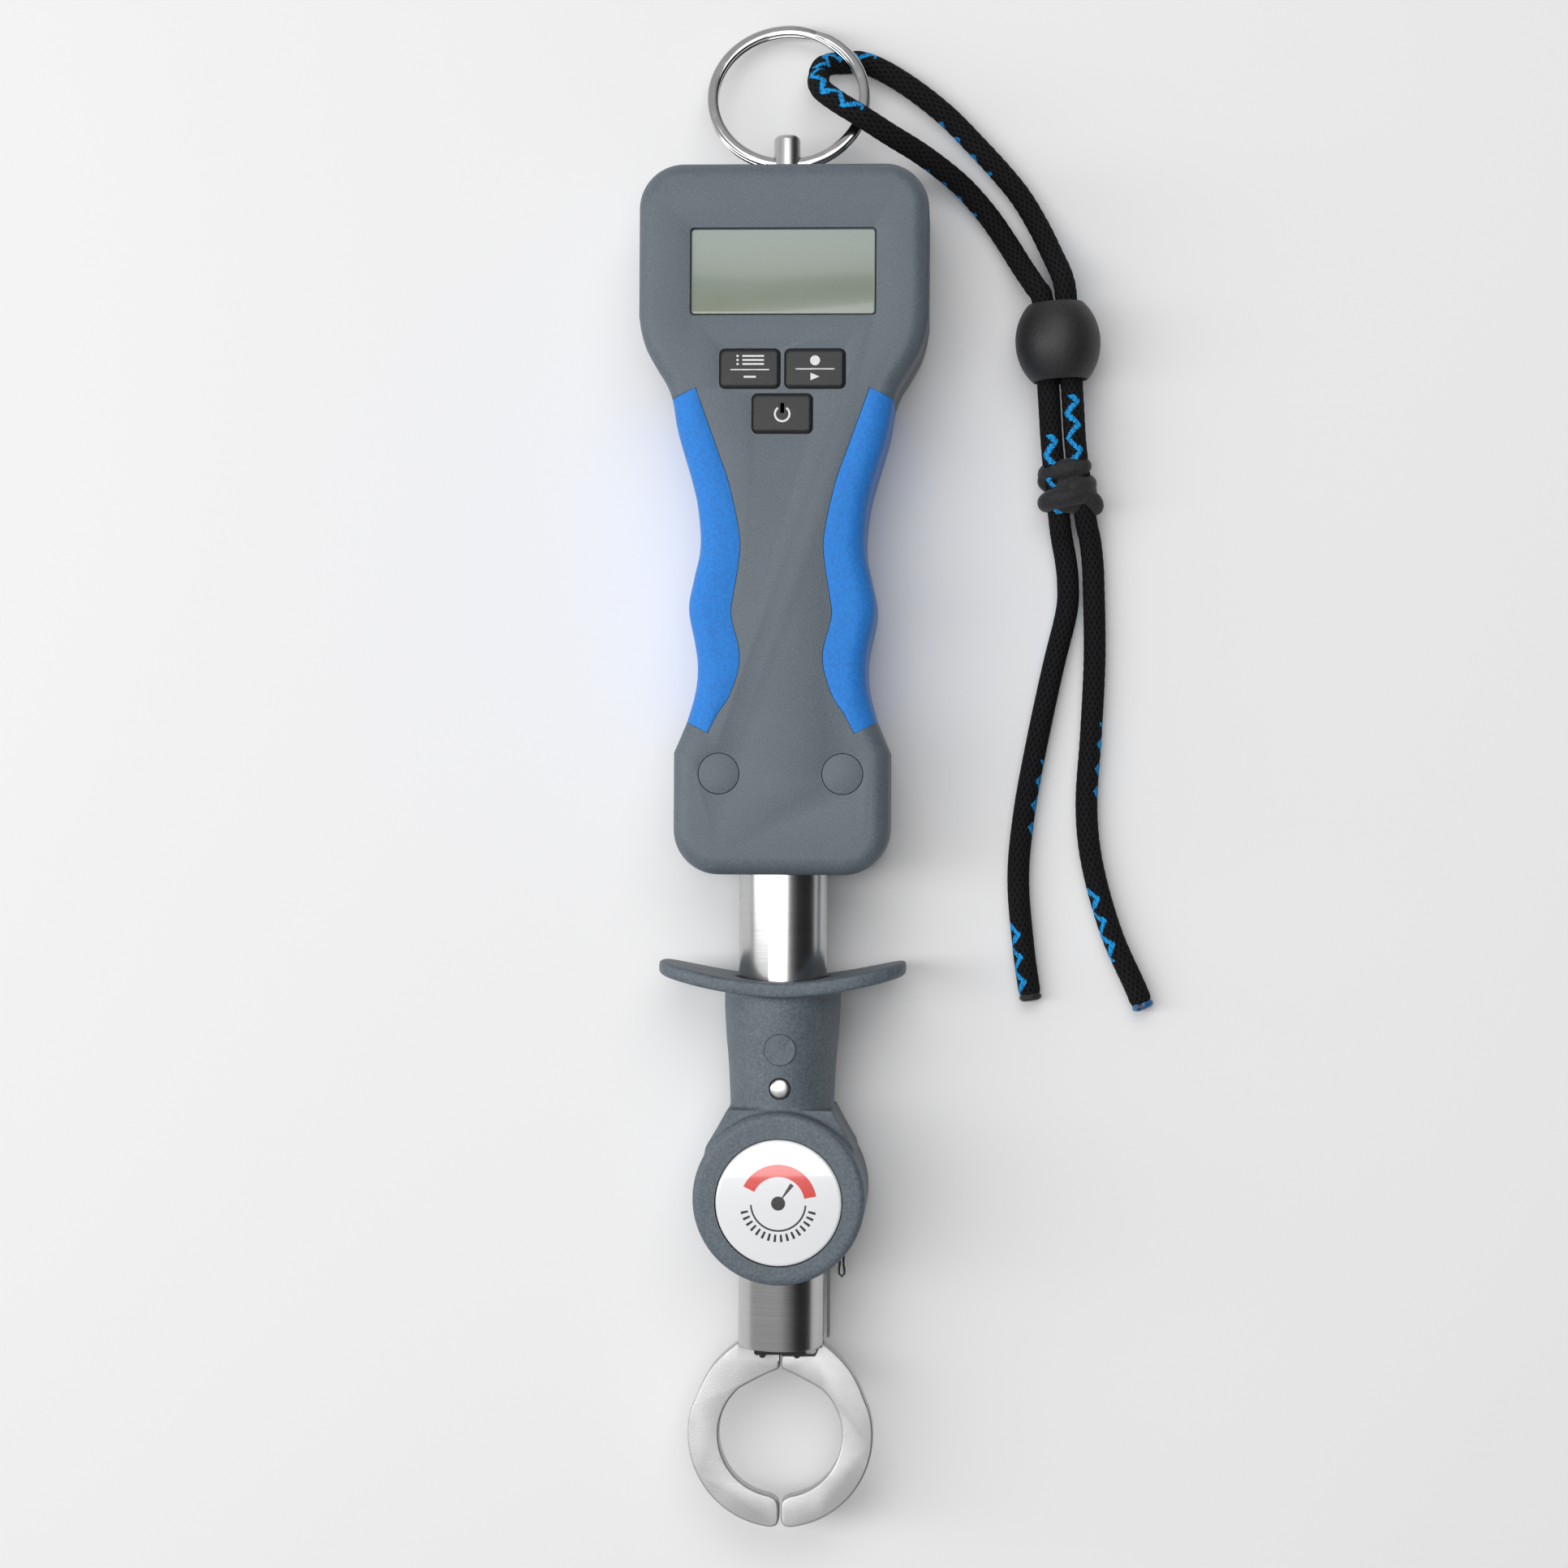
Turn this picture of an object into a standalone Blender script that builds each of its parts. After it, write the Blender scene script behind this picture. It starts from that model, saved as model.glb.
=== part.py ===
"""Digital fish scale with a lip gripper, lying on its back.

+Z points out of the display, +Y from the jaws to the ring, +X to the right of the display.
The tube's axis is X = 0, Z = AXIS_Z, and the part rests on Z = 0. Sizes are millimetres here
and become metres when a mesh is made.
"""

import math

import bmesh
import bpy
from mathutils import Vector

MM = 0.001
GAP = 0.3
FAR = 60.0
DATUM_Y = 2.73  # the middle of the length without the lanyard, which becomes Y = 0

# Housing
AXIS_Z = 15.0
HOUSING_TOP, HOUSING_BASE = 131.5, -19.5
HOUSING_Z = (0.0, 30.0)
PARTING_HALF_GAP = 0.5
HEAD_HALF_WIDTH, BASE_HALF_WIDTH = 30.8, 22.9
HEAD_CORNER, BASE_CORNER = 9.5, 9.6
SIDE_START, SIDE_END = 6.3, 99.0
SIDE_STATIONS = (
    (6.3, 22.9), (13.0, 20.1), (18.6, 18.1), (24.5, 17.55), (29.1, 18.1), (36.9, 19.5),
    (43.4, 18.4), (48.3, 17.3), (52.7, 17.1), (59.3, 17.8), (64.4, 19.0), (73.2, 21.6),
    (83.3, 24.2), (88.5, 27.2), (92.0, 29.1), (95.5, 30.2), (99.0, 30.8),
)
EDGE_RADIUS = 3.8
WALL = 3.2
FRONT_SKIN, BACK_SKIN = 3.0, 4.4

# Grips
GRIP_STATIONS = (
    (10.6, 15.6), (14.7, 13.4), (18.2, 11.1), (24.2, 9.05), (28.4, 9.0), (35.5, 10.7),
    (39.4, 10.3), (46.4, 9.2), (51.6, 8.9), (63.0, 11.2), (70.0, 13.6), (83.6, 18.5),
)
GRIP_THICK = 1.2
GRIP_END_SLOPES = (0.5, -0.46)
GRIP_STEPS = 17

# Display and keys
DISPLAY_Y = 108.2
POCKET_SIZE, WINDOW_SIZE, PANEL_SIZE = (39.5, 18.6), (38.4, 17.2), (36.4, 15.4)
POCKET_FLOOR = 28.3
KEY_SIZE, KEY_CORNER = (12.75, 8.3), 1.2
KEYS = {"key_memory": (-6.9, 87.6), "key_record": (6.9, 87.6), "key_power": (0.0, 78.1)}
KEY_BOTTOM, KEY_TOP = 25.2, 30.4
KEY_LEVELS = ((KEY_BOTTOM, 0), (KEY_TOP - 0.8, 0), (KEY_TOP - 0.25, 0.35), (KEY_TOP, 1.1))
MAT_BOX = ((-14.0, 72.8, 22.8), (14.0, 92.6, 24.0))
POST_R, POST_Z = 3.0, (19.3, 23.4)
BOARD_BOX = ((-15.0, 67.0, 17.2), (15.0, 116.0, 18.8))

# Screws that hold the shells together, and the plugs over the lower pair
LOWER_BOSS, UPPER_BOSS = (13.1, 1.95), (22.0, 121.0)
BOSS_R, PLUG_R = 4.25, 4.3
SCREW_HOLE_R, COUNTERBORE_R, COUNTERBORE_RISE = 1.6, 3.3, 10.2
PLUG_PROFILE = ((PLUG_R, 28.5), (PLUG_R, 29.8), (PLUG_R - 0.25, 30.0))

# Battery bay: half width, low and high Y of the cover and of the bay
COVER = (13.0, 72.5, 127.2)
BAY = (11.3, 74.6, 121.2)
COVER_THICK, LID_DEPTH, GROOVE_DEPTH, BAY_DEPTH = 2.0, 2.3, 3.3, 8.0
COVER_SCREW_Y, COVER_HOLE_R, COVER_HEAD_R = 124.4, 1.4, 2.8
COVER_SCREW = ((2.2, 0.1), (2.5, 0.3), (2.5, 0.9), (1.1, 0.9), (1.1, 7.4))
CELL_R, CELL_LENGTH, CELL_X, CELL_Z = 5.25, 44.5, 5.6, 9.95
CELL_PROFILE = (
    (CELL_R - 0.3, 0), (CELL_R, 0.4), (CELL_R, CELL_LENGTH - 1.4), (CELL_R - 0.3, CELL_LENGTH - 1.0),
    (2.75, CELL_LENGTH - 1.0), (2.75, CELL_LENGTH),
)
CONTACT_HALF_WIDTH, CONTACT_THICK, CONTACT_Z = 10.6, 0.4, (6.0, 14.0)

# Stud and split ring
RING_HINGE_Y = 133.4
RING_R, RING_WIRE_R = 16.5, 1.2
RING_TILT = math.radians(19)
STUD_R, STUD_TOP = 2.85, 139.8
STUD_COLLAR_R, STUD_COLLAR_Y = 4.4, (122.5, 126.5)

# Load cell between the housing and the tube, and the pieces bolted to it
LOAD_CELL_BOX = ((-6, 0, 11), (6, 54, 19))
LOAD_SLOT_R, LOAD_SLOT_Y = 2.6, (22.0, 32.0)
TUBE_PLUG_Y = (-24.0, -2.0)
TONGUE_BOX = ((-5, -3.5, 7.4), (5, 12, 10.7))
BRACKET_BOX = ((-13.2, 42, 7.4), (13.2, 54, 10.7))
FOOT_X, FOOT_Y, FOOT_Z = (9.0, 13.0), (43.0, 53.0), (4.7, 8.0)
LOWER_BOLT_Y, UPPER_BOLT_Y, BOLT_HOLE_R = 6.0, 48.0, 2.0
LOAD_BOLT = ((1.3, 7.6), (1.7, 8.0), (1.7, 19.3), (3.2, 19.3), (3.2, 21.7), (2.8, 22.1))
CROSS_PIN_Y, CROSS_PIN_R, CROSS_PIN_HALF = -10.0, 1.5, 9.2
BUSH_Y = (-18.2, -13.4)

# Tube and slider
TUBE_R, TUBE_BORE_R = 9.525, 8.325
TUBE_TOP, TUBE_END = -4.0, -121.3
TRAVEL = 10.0
BORE_R = TUBE_R + GAP
BUSH_R = 11.4
DISC_Y, DISC_R, DISC_Z = -88.2, 18.35, (0.5, 29.5)
FLANGE_HALF_WIDTH, FLANGE_HALF_DEPTH = 26.6, 14.7
FLANGE_MID_Y, FLANGE_TIP_RISE, FLANGE_THICK = -42.4, 4.4, 3.1
BADGE_Y, BADGE_R = -88.9, 13.4
SLIDER_PIN_Y, SLIDER_PIN_R = -65.0, 2.15
SLIDER_PLUG_Y, SLIDER_PLUG_R = -56.7, 3.3
SLIDER_SCREW_X = 14.6
COLLAR = ((12.5, -42.9), (12.5, -48.0), (11.6, -60.0), (11.0, -74.0))
WEB = ((10.8, -69.0), (13.2, -73.2), (15.8, -77.6), (16.6, -82.0))
WEB_Z = (4.0, 26.0)
SCREW_HOLE = ((2.9, -5), (2.9, 4.2), (1.6, 4.2), (1.6, AXIS_Z), (1.4, AXIS_Z), (1.4, 24.5))
SLIDER_SCREW = ((2.1, 1.0), (2.5, 1.4), (2.5, 3.8), (1.1, 3.8), (1.1, 23.5))
BADGE_DOME = (
    (BADGE_R, 27.5), (BADGE_R, 28.9), (BADGE_R - 0.8, 29.4), (8.0, 29.8), (3.0, 29.95),
)
CLIP = (
    (12.2, -102.7, 8.5), (12.4, -104.6, 8.5), (12.2, -106.4, 8.5), (12.8, -107.4, 8.5),
    (13.5, -106.4, 8.5), (13.2, -104.4, 8.5), (13.4, -101.7, 8.5),
)

# Plunger and spring inside the tube
PLUNGER = ((7.4, -72.0), (7.9, -71.0), (7.9, -59.0), (7.4, -58.0))
PRONG_TIP_R, PRONG_HALF_WIDTH, PRONG_THICK = 2.0, 3.0, 2.0
SPRING_Y, SPRING_R, SPRING_WIRE_R, SPRING_TURNS = (-57.0, -25.0), 6.2, 0.7, 7

# Jaws: the drive pin moves straight up while each jaw turns in proportion, which sets the cam slot
PIVOT_Y = -116.5
JAW_SWING = math.radians(28)
DRIVE_START = 4.2
DRIVE_PIN_R, PIVOT_PIN_R = 1.2, 1.5
JAW_RING_Y, JAW_OUTER_R, JAW_INNER_R = -140.4, 20.0, 13.3
PLATE_MID_GAP, PLATE_THICK, ARM_HALF_THICK = 0.2, 2.0, 2.2
HUB_R, TAIL_R = 5.6, DRIVE_PIN_R + 1.4
SHOULDER = (
    (4.6, -119.5), (5.4, -117.0), (9.5, -120.8), (12.0, -123.1), (12.2, -124.6),
    (0.3, -124.6), (0.3, -119.5),
)
SPACER_HALF_WIDTH, SPACER_Y, SPACER_THICK = 5.5, (-123.2, -114.8), 3.3

# Lanyard: route points chosen by hand, X, Y, Z
CORD_R = 2.4
LOOP = (
    (62.7, 72.2, 9.4), (62.0, 82.0, 9.4), (61.2, 94.0, 9.4), (60.4, 105.1, 9.4), (59.6, 110.0, 8.4),
    (57.4, 115.5, 5.6), (54.5, 121.8, 3.6), (50.7, 128.3, 2.8), (46.3, 133.8, 2.6), (40.3, 140.3, 2.6),
    (34.9, 145.8, 2.6), (29.4, 150.4, 2.6), (24.0, 154.2, 2.6), (19.2, 156.9, 2.6), (15.2, 158.3, 2.5),
    (12.0, 158.1, 2.5), (9.4, 157.8, 3.4), (7.3, 156.7, 5.4), (6.3, 154.0, 8.6), (7.0, 150.6, 12.2),
    (10.8, 147.1, 15.0), (16.0, 143.8, 15.5), (22.4, 140.2, 12.6), (28.1, 137.4, 8.6), (33.6, 134.0, 5.2),
    (38.6, 130.0, 3.2), (43.6, 124.3, 2.6), (47.6, 118.5, 2.8), (51.0, 112.7, 5.0), (53.6, 108.2, 8.4),
    (55.3, 104.8, 9.4), (56.1, 93.7, 9.4), (56.9, 81.7, 9.4), (57.6, 71.8, 9.4),
)
BIGHT_X, BIGHT_Y = 19.6, 135.0
LEFT_TAIL = (
    (59.3, 57.6, 5.4), (59.9, 53.6, 3.6), (60.8, 49.0, 2.7), (61.3, 44.0, 2.7), (61.0, 37.6, 2.7),
    (58.1, 25.3, 2.7), (54.6, 8.5, 2.7), (52.0, -6.4, 2.7), (50.8, -20.6, 2.7), (52.0, -35.5, 2.7),
    (53.5, -46.1, 2.7),
)
RIGHT_TAIL = (
    (65.0, 57.8, 5.4), (66.0, 53.6, 3.6), (66.6, 49.0, 2.7), (66.9, 43.5, 2.7), (67.2, 27.9, 2.7),
    (66.5, 11.1, 2.7), (65.6, -4.4, 2.7), (66.9, -17.3, 2.7), (71.1, -32.2, 2.7), (76.3, -43.9, 2.7),
    (77.9, -47.8, 2.7),
)
BEAD_CENTRE, BEAD_R, BEAD_LENGTH, BEAD_BORE_R = (58.65, 95.8, 9.4), 9.2, 16.75, 5.6
BEAD_AXIS = Vector((0.0687, -0.9976, 0.0))
KNOT_CENTRE, KNOT_HALF = (60.9, 64.9, 6.4), (6.6, 6.6, 6.1)

FINISHES = {
    "housing": ((0.12, 0.145, 0.17), 0.55, 0.0),
    "grip": ((0.01, 0.22, 0.68), 0.75, 0.0),
    "rubber": ((0.015, 0.015, 0.016), 0.8, 0.0),
    "window": ((0.3, 0.33, 0.3), 0.15, 0.0),
    "panel": ((0.27, 0.31, 0.26), 0.5, 0.0),
    "board": ((0.02, 0.15, 0.05), 0.5, 0.0),
    "steel": ((0.62, 0.62, 0.63), 0.28, 1.0),
    "aluminium": ((0.75, 0.76, 0.78), 0.4, 1.0),
    "badge": ((0.85, 0.85, 0.86), 0.3, 0.0),
    "cell": ((0.25, 0.27, 0.3), 0.4, 0.3),
    "cord": ((0.012, 0.012, 0.014), 0.85, 0.0),
}


# ---- meshes ----

def clear_scene():
    for obj in list(bpy.data.objects):
        bpy.data.objects.remove(obj)


def finish(name):
    made = bpy.data.materials.get(name)
    if made is None:
        colour, roughness, metallic = FINISHES[name]
        made = bpy.data.materials.new(name)
        made.use_nodes = True
        shader = made.node_tree.nodes["Principled BSDF"]
        shader.inputs["Base Color"].default_value = (*colour, 1.0)
        shader.inputs["Roughness"].default_value = roughness
        shader.inputs["Metallic"].default_value = metallic
        made.diffuse_color = (*colour, 1.0)
    return made


def metres(point):
    x, y, z = point
    return Vector((x, y - DATUM_Y, z)) * MM


def solid(name, slot, rings, closed=False, origin=(0, DATUM_Y, 0)):
    """A body through rings of equal length; the ends are capped unless the last ring meets the first."""
    count = len(rings[0])
    verts = [metres(p) - metres(origin) for ring in rings for p in ring]
    spans = len(rings) if closed else len(rings) - 1
    faces = []
    for i in range(spans):
        a, b = i * count, (i + 1) % len(rings) * count
        faces += [(a + j, a + (j + 1) % count, b + (j + 1) % count, b + j) for j in range(count)]
    if not closed:
        faces.append(tuple(range(count)))
        faces.append(tuple(range(len(verts) - count, len(verts))))
    mesh = bpy.data.meshes.new(name)
    mesh.from_pydata(verts, [], faces)
    work = bmesh.new()
    work.from_mesh(mesh)
    bmesh.ops.recalc_face_normals(work, faces=work.faces)
    work.to_mesh(mesh)
    work.free()
    mesh.shade_smooth()
    mesh.set_sharp_from_angle(angle=math.radians(35))
    mesh.materials.append(finish(slot))
    obj = bpy.data.objects.new(name, mesh)
    obj.location = metres(origin)
    bpy.context.collection.objects.link(obj)
    return obj


def helper(obj):
    obj.hide_render = True
    obj.display_type = "WIRE"
    return obj


def combine(target, other, operation="DIFFERENCE"):
    helper(other)
    modifier = target.modifiers.new(other.name, "BOOLEAN")
    modifier.operation = operation
    modifier.object = other
    return target


def cut(target, *others):
    for other in others:
        combine(target, other)
    return target


def join(target, *others):
    for other in others:
        combine(target, other, "UNION")
    return target


def place(axis, centre, u, v, w):
    """A point at (u, v) across the axis and w along it."""
    x, y, z = centre
    if axis == "Z":
        return (x + u, y + v, z + w)
    if axis == "Y":
        return (x + u, y + w, z + v)
    return (x + w, y + u, z + v)


def circle(axis, centre, radius, along, steps):
    angles = [2 * math.pi * i / steps for i in range(steps)]
    return [place(axis, centre, radius * math.cos(a), radius * math.sin(a), along) for a in angles]


def turned(name, slot, axis, centre, profile, steps=24, closed=False, origin=(0, DATUM_Y, 0)):
    """A turned body: profile holds (radius, distance along the axis)."""
    rings = [circle(axis, centre, r, along, steps) for r, along in profile]
    return solid(name, slot, rings, closed, origin)


def rod(name, slot, axis, centre, radius, low, high, steps=24):
    return turned(name, slot, axis, centre, ((radius, low), (radius, high)), steps)


def box(name, slot, low, high):
    corners = [(low[0], low[1]), (high[0], low[1]), (high[0], high[1]), (low[0], high[1])]
    return prism(name, slot, corners, low[2], high[2])


def prism(name, slot, outline, low, high, origin=(0, DATUM_Y, 0)):
    return solid(name, slot, [[(x, y, z) for x, y in outline] for z in (low, high)], origin=origin)


def rounded_rectangle(size, corner, centre=(0, 0), steps=4):
    points = []
    for quarter, (sx, sy) in enumerate(((1, 1), (-1, 1), (-1, -1), (1, -1))):
        cx = centre[0] + sx * (size[0] / 2 - corner)
        cy = centre[1] + sy * (size[1] / 2 - corner)
        for i in range(steps + 1):
            angle = math.pi / 2 * (quarter + i / steps)
            points.append((cx + corner * math.cos(angle), cy + corner * math.sin(angle)))
    return points


def smooth_through(stations):
    """A cubic through (y, value) stations."""
    def slope(i):
        before, after = stations[max(i - 1, 0)], stations[min(i + 1, len(stations) - 1)]
        return (after[1] - before[1]) / (after[0] - before[0])

    def value(y):
        y = min(max(y, stations[0][0]), stations[-1][0])
        i = max(k for k in range(len(stations) - 1) if stations[k][0] <= y)
        (y0, v0), (y1, v1) = stations[i], stations[i + 1]
        h = y1 - y0
        t = (y - y0) / h
        return (
            v0 * (1 + 2 * t) * (1 - t) ** 2 + v1 * t * t * (3 - 2 * t)
            + h * (slope(i) * t * (1 - t) ** 2 - slope(i + 1) * t * t * (1 - t))
        )

    return value


side_width = smooth_through(SIDE_STATIONS)
grip_edge = smooth_through(GRIP_STATIONS)


def inset(outline, distance):
    """The closed outline moved inwards; it runs anticlockwise."""
    moved = []
    for i, point in enumerate(outline):
        before, after = Vector(outline[i - 1]), Vector(outline[(i + 1) % len(outline)])
        here = Vector(point)
        a, b = (here - before).normalized(), (after - here).normalized()
        normal = (Vector((-a.y, a.x)) + Vector((-b.y, b.x))).normalized()
        stretch = max(normal.dot(Vector((-a.y, a.x))), 0.5)
        moved.append(tuple(here + normal * distance / stretch))
    return moved


def housing_outline(side_steps=24, corner_steps=5):
    def corner(cx, cy, radius, start):
        angles = [start + math.pi / 2 * i / corner_steps for i in range(corner_steps + 1)]
        return [(cx + radius * math.cos(a), cy + radius * math.sin(a)) for a in angles]

    base_x = BASE_HALF_WIDTH - BASE_CORNER
    head_x = HEAD_HALF_WIDTH - HEAD_CORNER
    right = corner(base_x, HOUSING_BASE + BASE_CORNER, BASE_CORNER, -math.pi / 2)
    span = SIDE_END - SIDE_START
    heights = [SIDE_START + span * i / side_steps for i in range(side_steps + 1)]
    right += [(side_width(y), y) for y in heights]
    right += corner(head_x, HOUSING_TOP - HEAD_CORNER, HEAD_CORNER, 0)
    return right + [(-x, y) for x, y in reversed(right)]


OUTLINE = housing_outline()


def shell_rings(face, inward, skin):
    """Rings from the inner face down to the parting and up the outside to the outer face."""
    edge = (
        (EDGE_RADIUS, 0), (EDGE_RADIUS * 0.553, 0.14 * EDGE_RADIUS),
        (EDGE_RADIUS * 0.2, 0.45 * EDGE_RADIUS), (0, EDGE_RADIUS),
    )
    parting = AXIS_Z - inward * PARTING_HALF_GAP
    levels = [(face + inward * skin, WALL + 1.0), (face + inward * (skin + 1.0), WALL)]
    levels += [(parting, WALL), (parting, 0)]
    levels += [(face + inward * depth, offset) for depth, offset in edge]
    return [[(x, y, z) for x, y in inset(OUTLINE, offset)] for z, offset in levels]


# ---- housing ----

def grip_section(side, y, slope, out, deep, border):
    edge_x = grip_edge(y) - border
    width = side_width(y)
    for _ in range(3):
        width = side_width(y + slope * (width - edge_x))
    side_y = y + slope * (width - edge_x)
    lean = (side_width(side_y + 0.5) - side_width(side_y - 0.5))
    stretch = math.hypot(1, lean)
    centre_x = width - EDGE_RADIUS * stretch

    def wrap(grow):
        radius = EDGE_RADIUS + grow
        angles = [math.pi / 2 * i / 3 for i in range(4)]
        top = [(edge_x, radius)]
        top += [(centre_x + radius * stretch * math.sin(a), radius * math.cos(a)) for a in angles]
        front = [(x, HOUSING_Z[1] - EDGE_RADIUS + dz) for x, dz in top]
        back = [(x, HOUSING_Z[0] + EDGE_RADIUS - dz) for x, dz in reversed(top)]
        return front + back

    loop = wrap(out) + wrap(-deep)[::-1]
    return [(side * x, y + slope * (x - edge_x), z) for x, z in loop]


def grip(name, side, out=0.0, deep=GRIP_THICK, border=0.0):
    low, high = GRIP_STATIONS[0][0] - border, GRIP_STATIONS[-1][0] + border
    rings = []
    for i in range(GRIP_STEPS + 1):
        t = i / GRIP_STEPS
        slope = GRIP_END_SLOPES[0] * (1 - t) ** 3 + GRIP_END_SLOPES[1] * t ** 3
        rings.append(grip_section(side, low + (high - low) * t, slope, out, deep, border))
    return solid(name, "grip", rings)


def boss_holes(name, x, y, from_front):
    """Screw hole through both shells, with the head's counterbore on one side."""
    sign = 1 if from_front else -1
    profile = (
        (SCREW_HOLE_R, -7.5), (SCREW_HOLE_R, COUNTERBORE_RISE),
        (COUNTERBORE_R, COUNTERBORE_RISE), (COUNTERBORE_R, 20),
    )
    return turned(name, "housing", "Z", (x, y, AXIS_Z), [(r, sign * h) for r, h in profile], 12)


def housing_screw(name, x, y, from_front):
    sign = 1 if from_front else -1
    profile = ((0.7, -6.5), (1.2, -5.8), (1.2, 10.5), (2.9, 10.5), (2.9, 12.2), (2.2, 12.7))
    turned(name, "steel", "Z", (x, y, AXIS_Z), [(r, sign * h) for r, h in profile], 12)


def shared_housing_cuts(tag):
    cuts = [
        grip(f"cut_grip_right_{tag}", 1, 2.0, GRIP_THICK + GAP, GAP),
        grip(f"cut_grip_left_{tag}", -1, 2.0, GRIP_THICK + GAP, GAP),
        rod(f"cut_tube_{tag}", "housing", "Y", (0, 0, AXIS_Z), BORE_R, -FAR, -10, 32),
        rod(f"cut_bush_{tag}", "housing", "Y", (0, 0, AXIS_Z), BUSH_R + GAP,
            BUSH_Y[0] - GAP, BUSH_Y[1] + GAP, 32),
        rod(f"cut_stud_{tag}", "housing", "Y", (0, 0, AXIS_Z), STUD_R + GAP, 120, 140, 20),
    ]
    for side in (-1, 1):
        label = "right" if side > 0 else "left"
        cuts.append(boss_holes(f"cut_low_{label}_{tag}", side * LOWER_BOSS[0], LOWER_BOSS[1], True))
        cuts.append(boss_holes(f"cut_high_{label}_{tag}", side * UPPER_BOSS[0], UPPER_BOSS[1], False))
    return cuts


def bosses(tag, low, high):
    made = []
    for x, y in (LOWER_BOSS, UPPER_BOSS):
        for side in (-1, 1):
            name = f"boss_{tag}_{round(side * x)}_{round(y)}"
            made.append(rod(name, "housing", "Z", (side * x, y, 0), BOSS_R, low, high, 14))
    return made


def front_shell():
    shell = solid("front_shell", "housing", shell_rings(HOUSING_Z[1], -1, FRONT_SKIN))
    join(shell, *bosses("front", AXIS_Z + 0.8, 27.8))
    cut(shell, *shared_housing_cuts("front"))
    pocket = rounded_rectangle(POCKET_SIZE, 0.8, (0, DISPLAY_Y))
    opening_size = [length + 2 * GAP for length in PANEL_SIZE]
    opening = rounded_rectangle(opening_size, 0.8, (0, DISPLAY_Y))
    cut(shell, prism("cut_pocket", "housing", pocket, POCKET_FLOOR, FAR))
    cut(shell, prism("cut_opening", "housing", opening, 24, 29))
    hole_size = [length + 2 * GAP for length in KEY_SIZE]
    for name, centre in KEYS.items():
        hole = rounded_rectangle(hole_size, KEY_CORNER + GAP, centre)
        cut(shell, prism(f"cut_{name}", "housing", hole, 24, FAR))
    for side in (-1, 1):
        centre = (side * LOWER_BOSS[0], LOWER_BOSS[1], 0)
        cut(shell, rod(f"cut_plug_{side}", "housing", "Z", centre, PLUG_R + GAP, 28.2, 34, 24))


def back_shell():
    shell = solid("back_shell", "housing", shell_rings(HOUSING_Z[0], 1, BACK_SKIN))
    join(shell, *bosses("back", 3.4, AXIS_Z - 0.8))
    join(shell, rod("boss_cover", "housing", "Z", (0, COVER_SCREW_Y, 0), 3.0, 3.4, 9.0, 16))
    cut(shell, *shared_housing_cuts("back"))
    half, low, high = COVER
    lid_size = (2 * (half + GAP), high - low + 2 * GAP)
    lid = rounded_rectangle(lid_size, 2.3, (0, (low + high) / 2))
    cut(shell, prism("cut_lid", "housing", lid, -5, LID_DEPTH))
    half, low, high = BAY
    groove = rounded_rectangle((2 * half + 2.4, high - low + 2.4), 1.6, (0, (low + high) / 2))
    cut(shell, prism("cut_groove", "housing", groove, -5, GROOVE_DEPTH))
    bay = rounded_rectangle((2 * half, high - low), 1.2, (0, (low + high) / 2))
    cut(shell, prism("cut_bay", "housing", bay, -5, BAY_DEPTH))
    screw_centre = (0, COVER_SCREW_Y, 0)
    cut(shell, rod("cut_cover_screw_hole", "housing", "Z", screw_centre, COVER_HOLE_R, -5, 9.5, 16))


def housing_seal(name, side):
    """Half of the gasket between the shells, from the stud's hole round to the tube's hole."""
    ring = [p for p in OUTLINE if side * p[0] > 0]
    start = (side * (BUSH_R + 0.8), HOUSING_BASE)
    stop = (side * (STUD_R + 1.5), HOUSING_TOP)
    path = sorted(ring, key=lambda p: OUTLINE.index(p), reverse=side < 0)
    path = [start] + path + [stop]

    def moved(distance):
        shifted = []
        for i, point in enumerate(path):
            a = Vector(path[max(i - 1, 0)])
            b = Vector(path[min(i + 1, len(path) - 1)])
            along = (b - a).normalized()
            inward = Vector((-along.y, along.x)) * side
            shifted.append(tuple(Vector(point) + inward * distance))
        return shifted

    outline = moved(1.9) + moved(2.9)[::-1]
    prism(name, "rubber", outline, AXIS_Z - 0.2, AXIS_Z + 0.2)


def housing():
    front_shell()
    back_shell()
    for side, label in ((-1, "left"), (1, "right")):
        grip(f"{label}_grip", side)
        housing_seal(f"housing_seal_{label}", side)
        housing_screw(f"housing_screw_low_{label}", side * LOWER_BOSS[0], LOWER_BOSS[1], True)
        housing_screw(f"housing_screw_high_{label}", side * UPPER_BOSS[0], UPPER_BOSS[1], False)
        centre = (side * LOWER_BOSS[0], LOWER_BOSS[1], 0)
        turned(f"{label}_screw_plug", "housing", "Z", centre, PLUG_PROFILE, 24)


def display():
    window = rounded_rectangle(WINDOW_SIZE, 0.6, (0, DISPLAY_Y))
    prism("lcd_window", "window", window, POCKET_FLOOR + GAP, 29.5)
    panel = rounded_rectangle(PANEL_SIZE, 0.4, (0, DISPLAY_Y))
    prism("lcd_panel", "panel", panel, 19.1, POCKET_FLOOR - 0.1)
    box("circuit_board", "board", *BOARD_BOX)


def keys():
    for name, (x, y) in KEYS.items():
        rim = rounded_rectangle(KEY_SIZE, KEY_CORNER, (x, y))
        rings = [[(px, py, z) for px, py in inset(rim, offset)] for z, offset in KEY_LEVELS]
        solid(name, "rubber", rings, origin=(x, y, KEY_BOTTOM))
    mat = box("key_mat", "rubber", *MAT_BOX)
    for name, (x, y) in KEYS.items():
        join(mat, rod(f"post_{name}", "rubber", "Z", (x, y, 0), POST_R, *POST_Z, 16))


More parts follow.
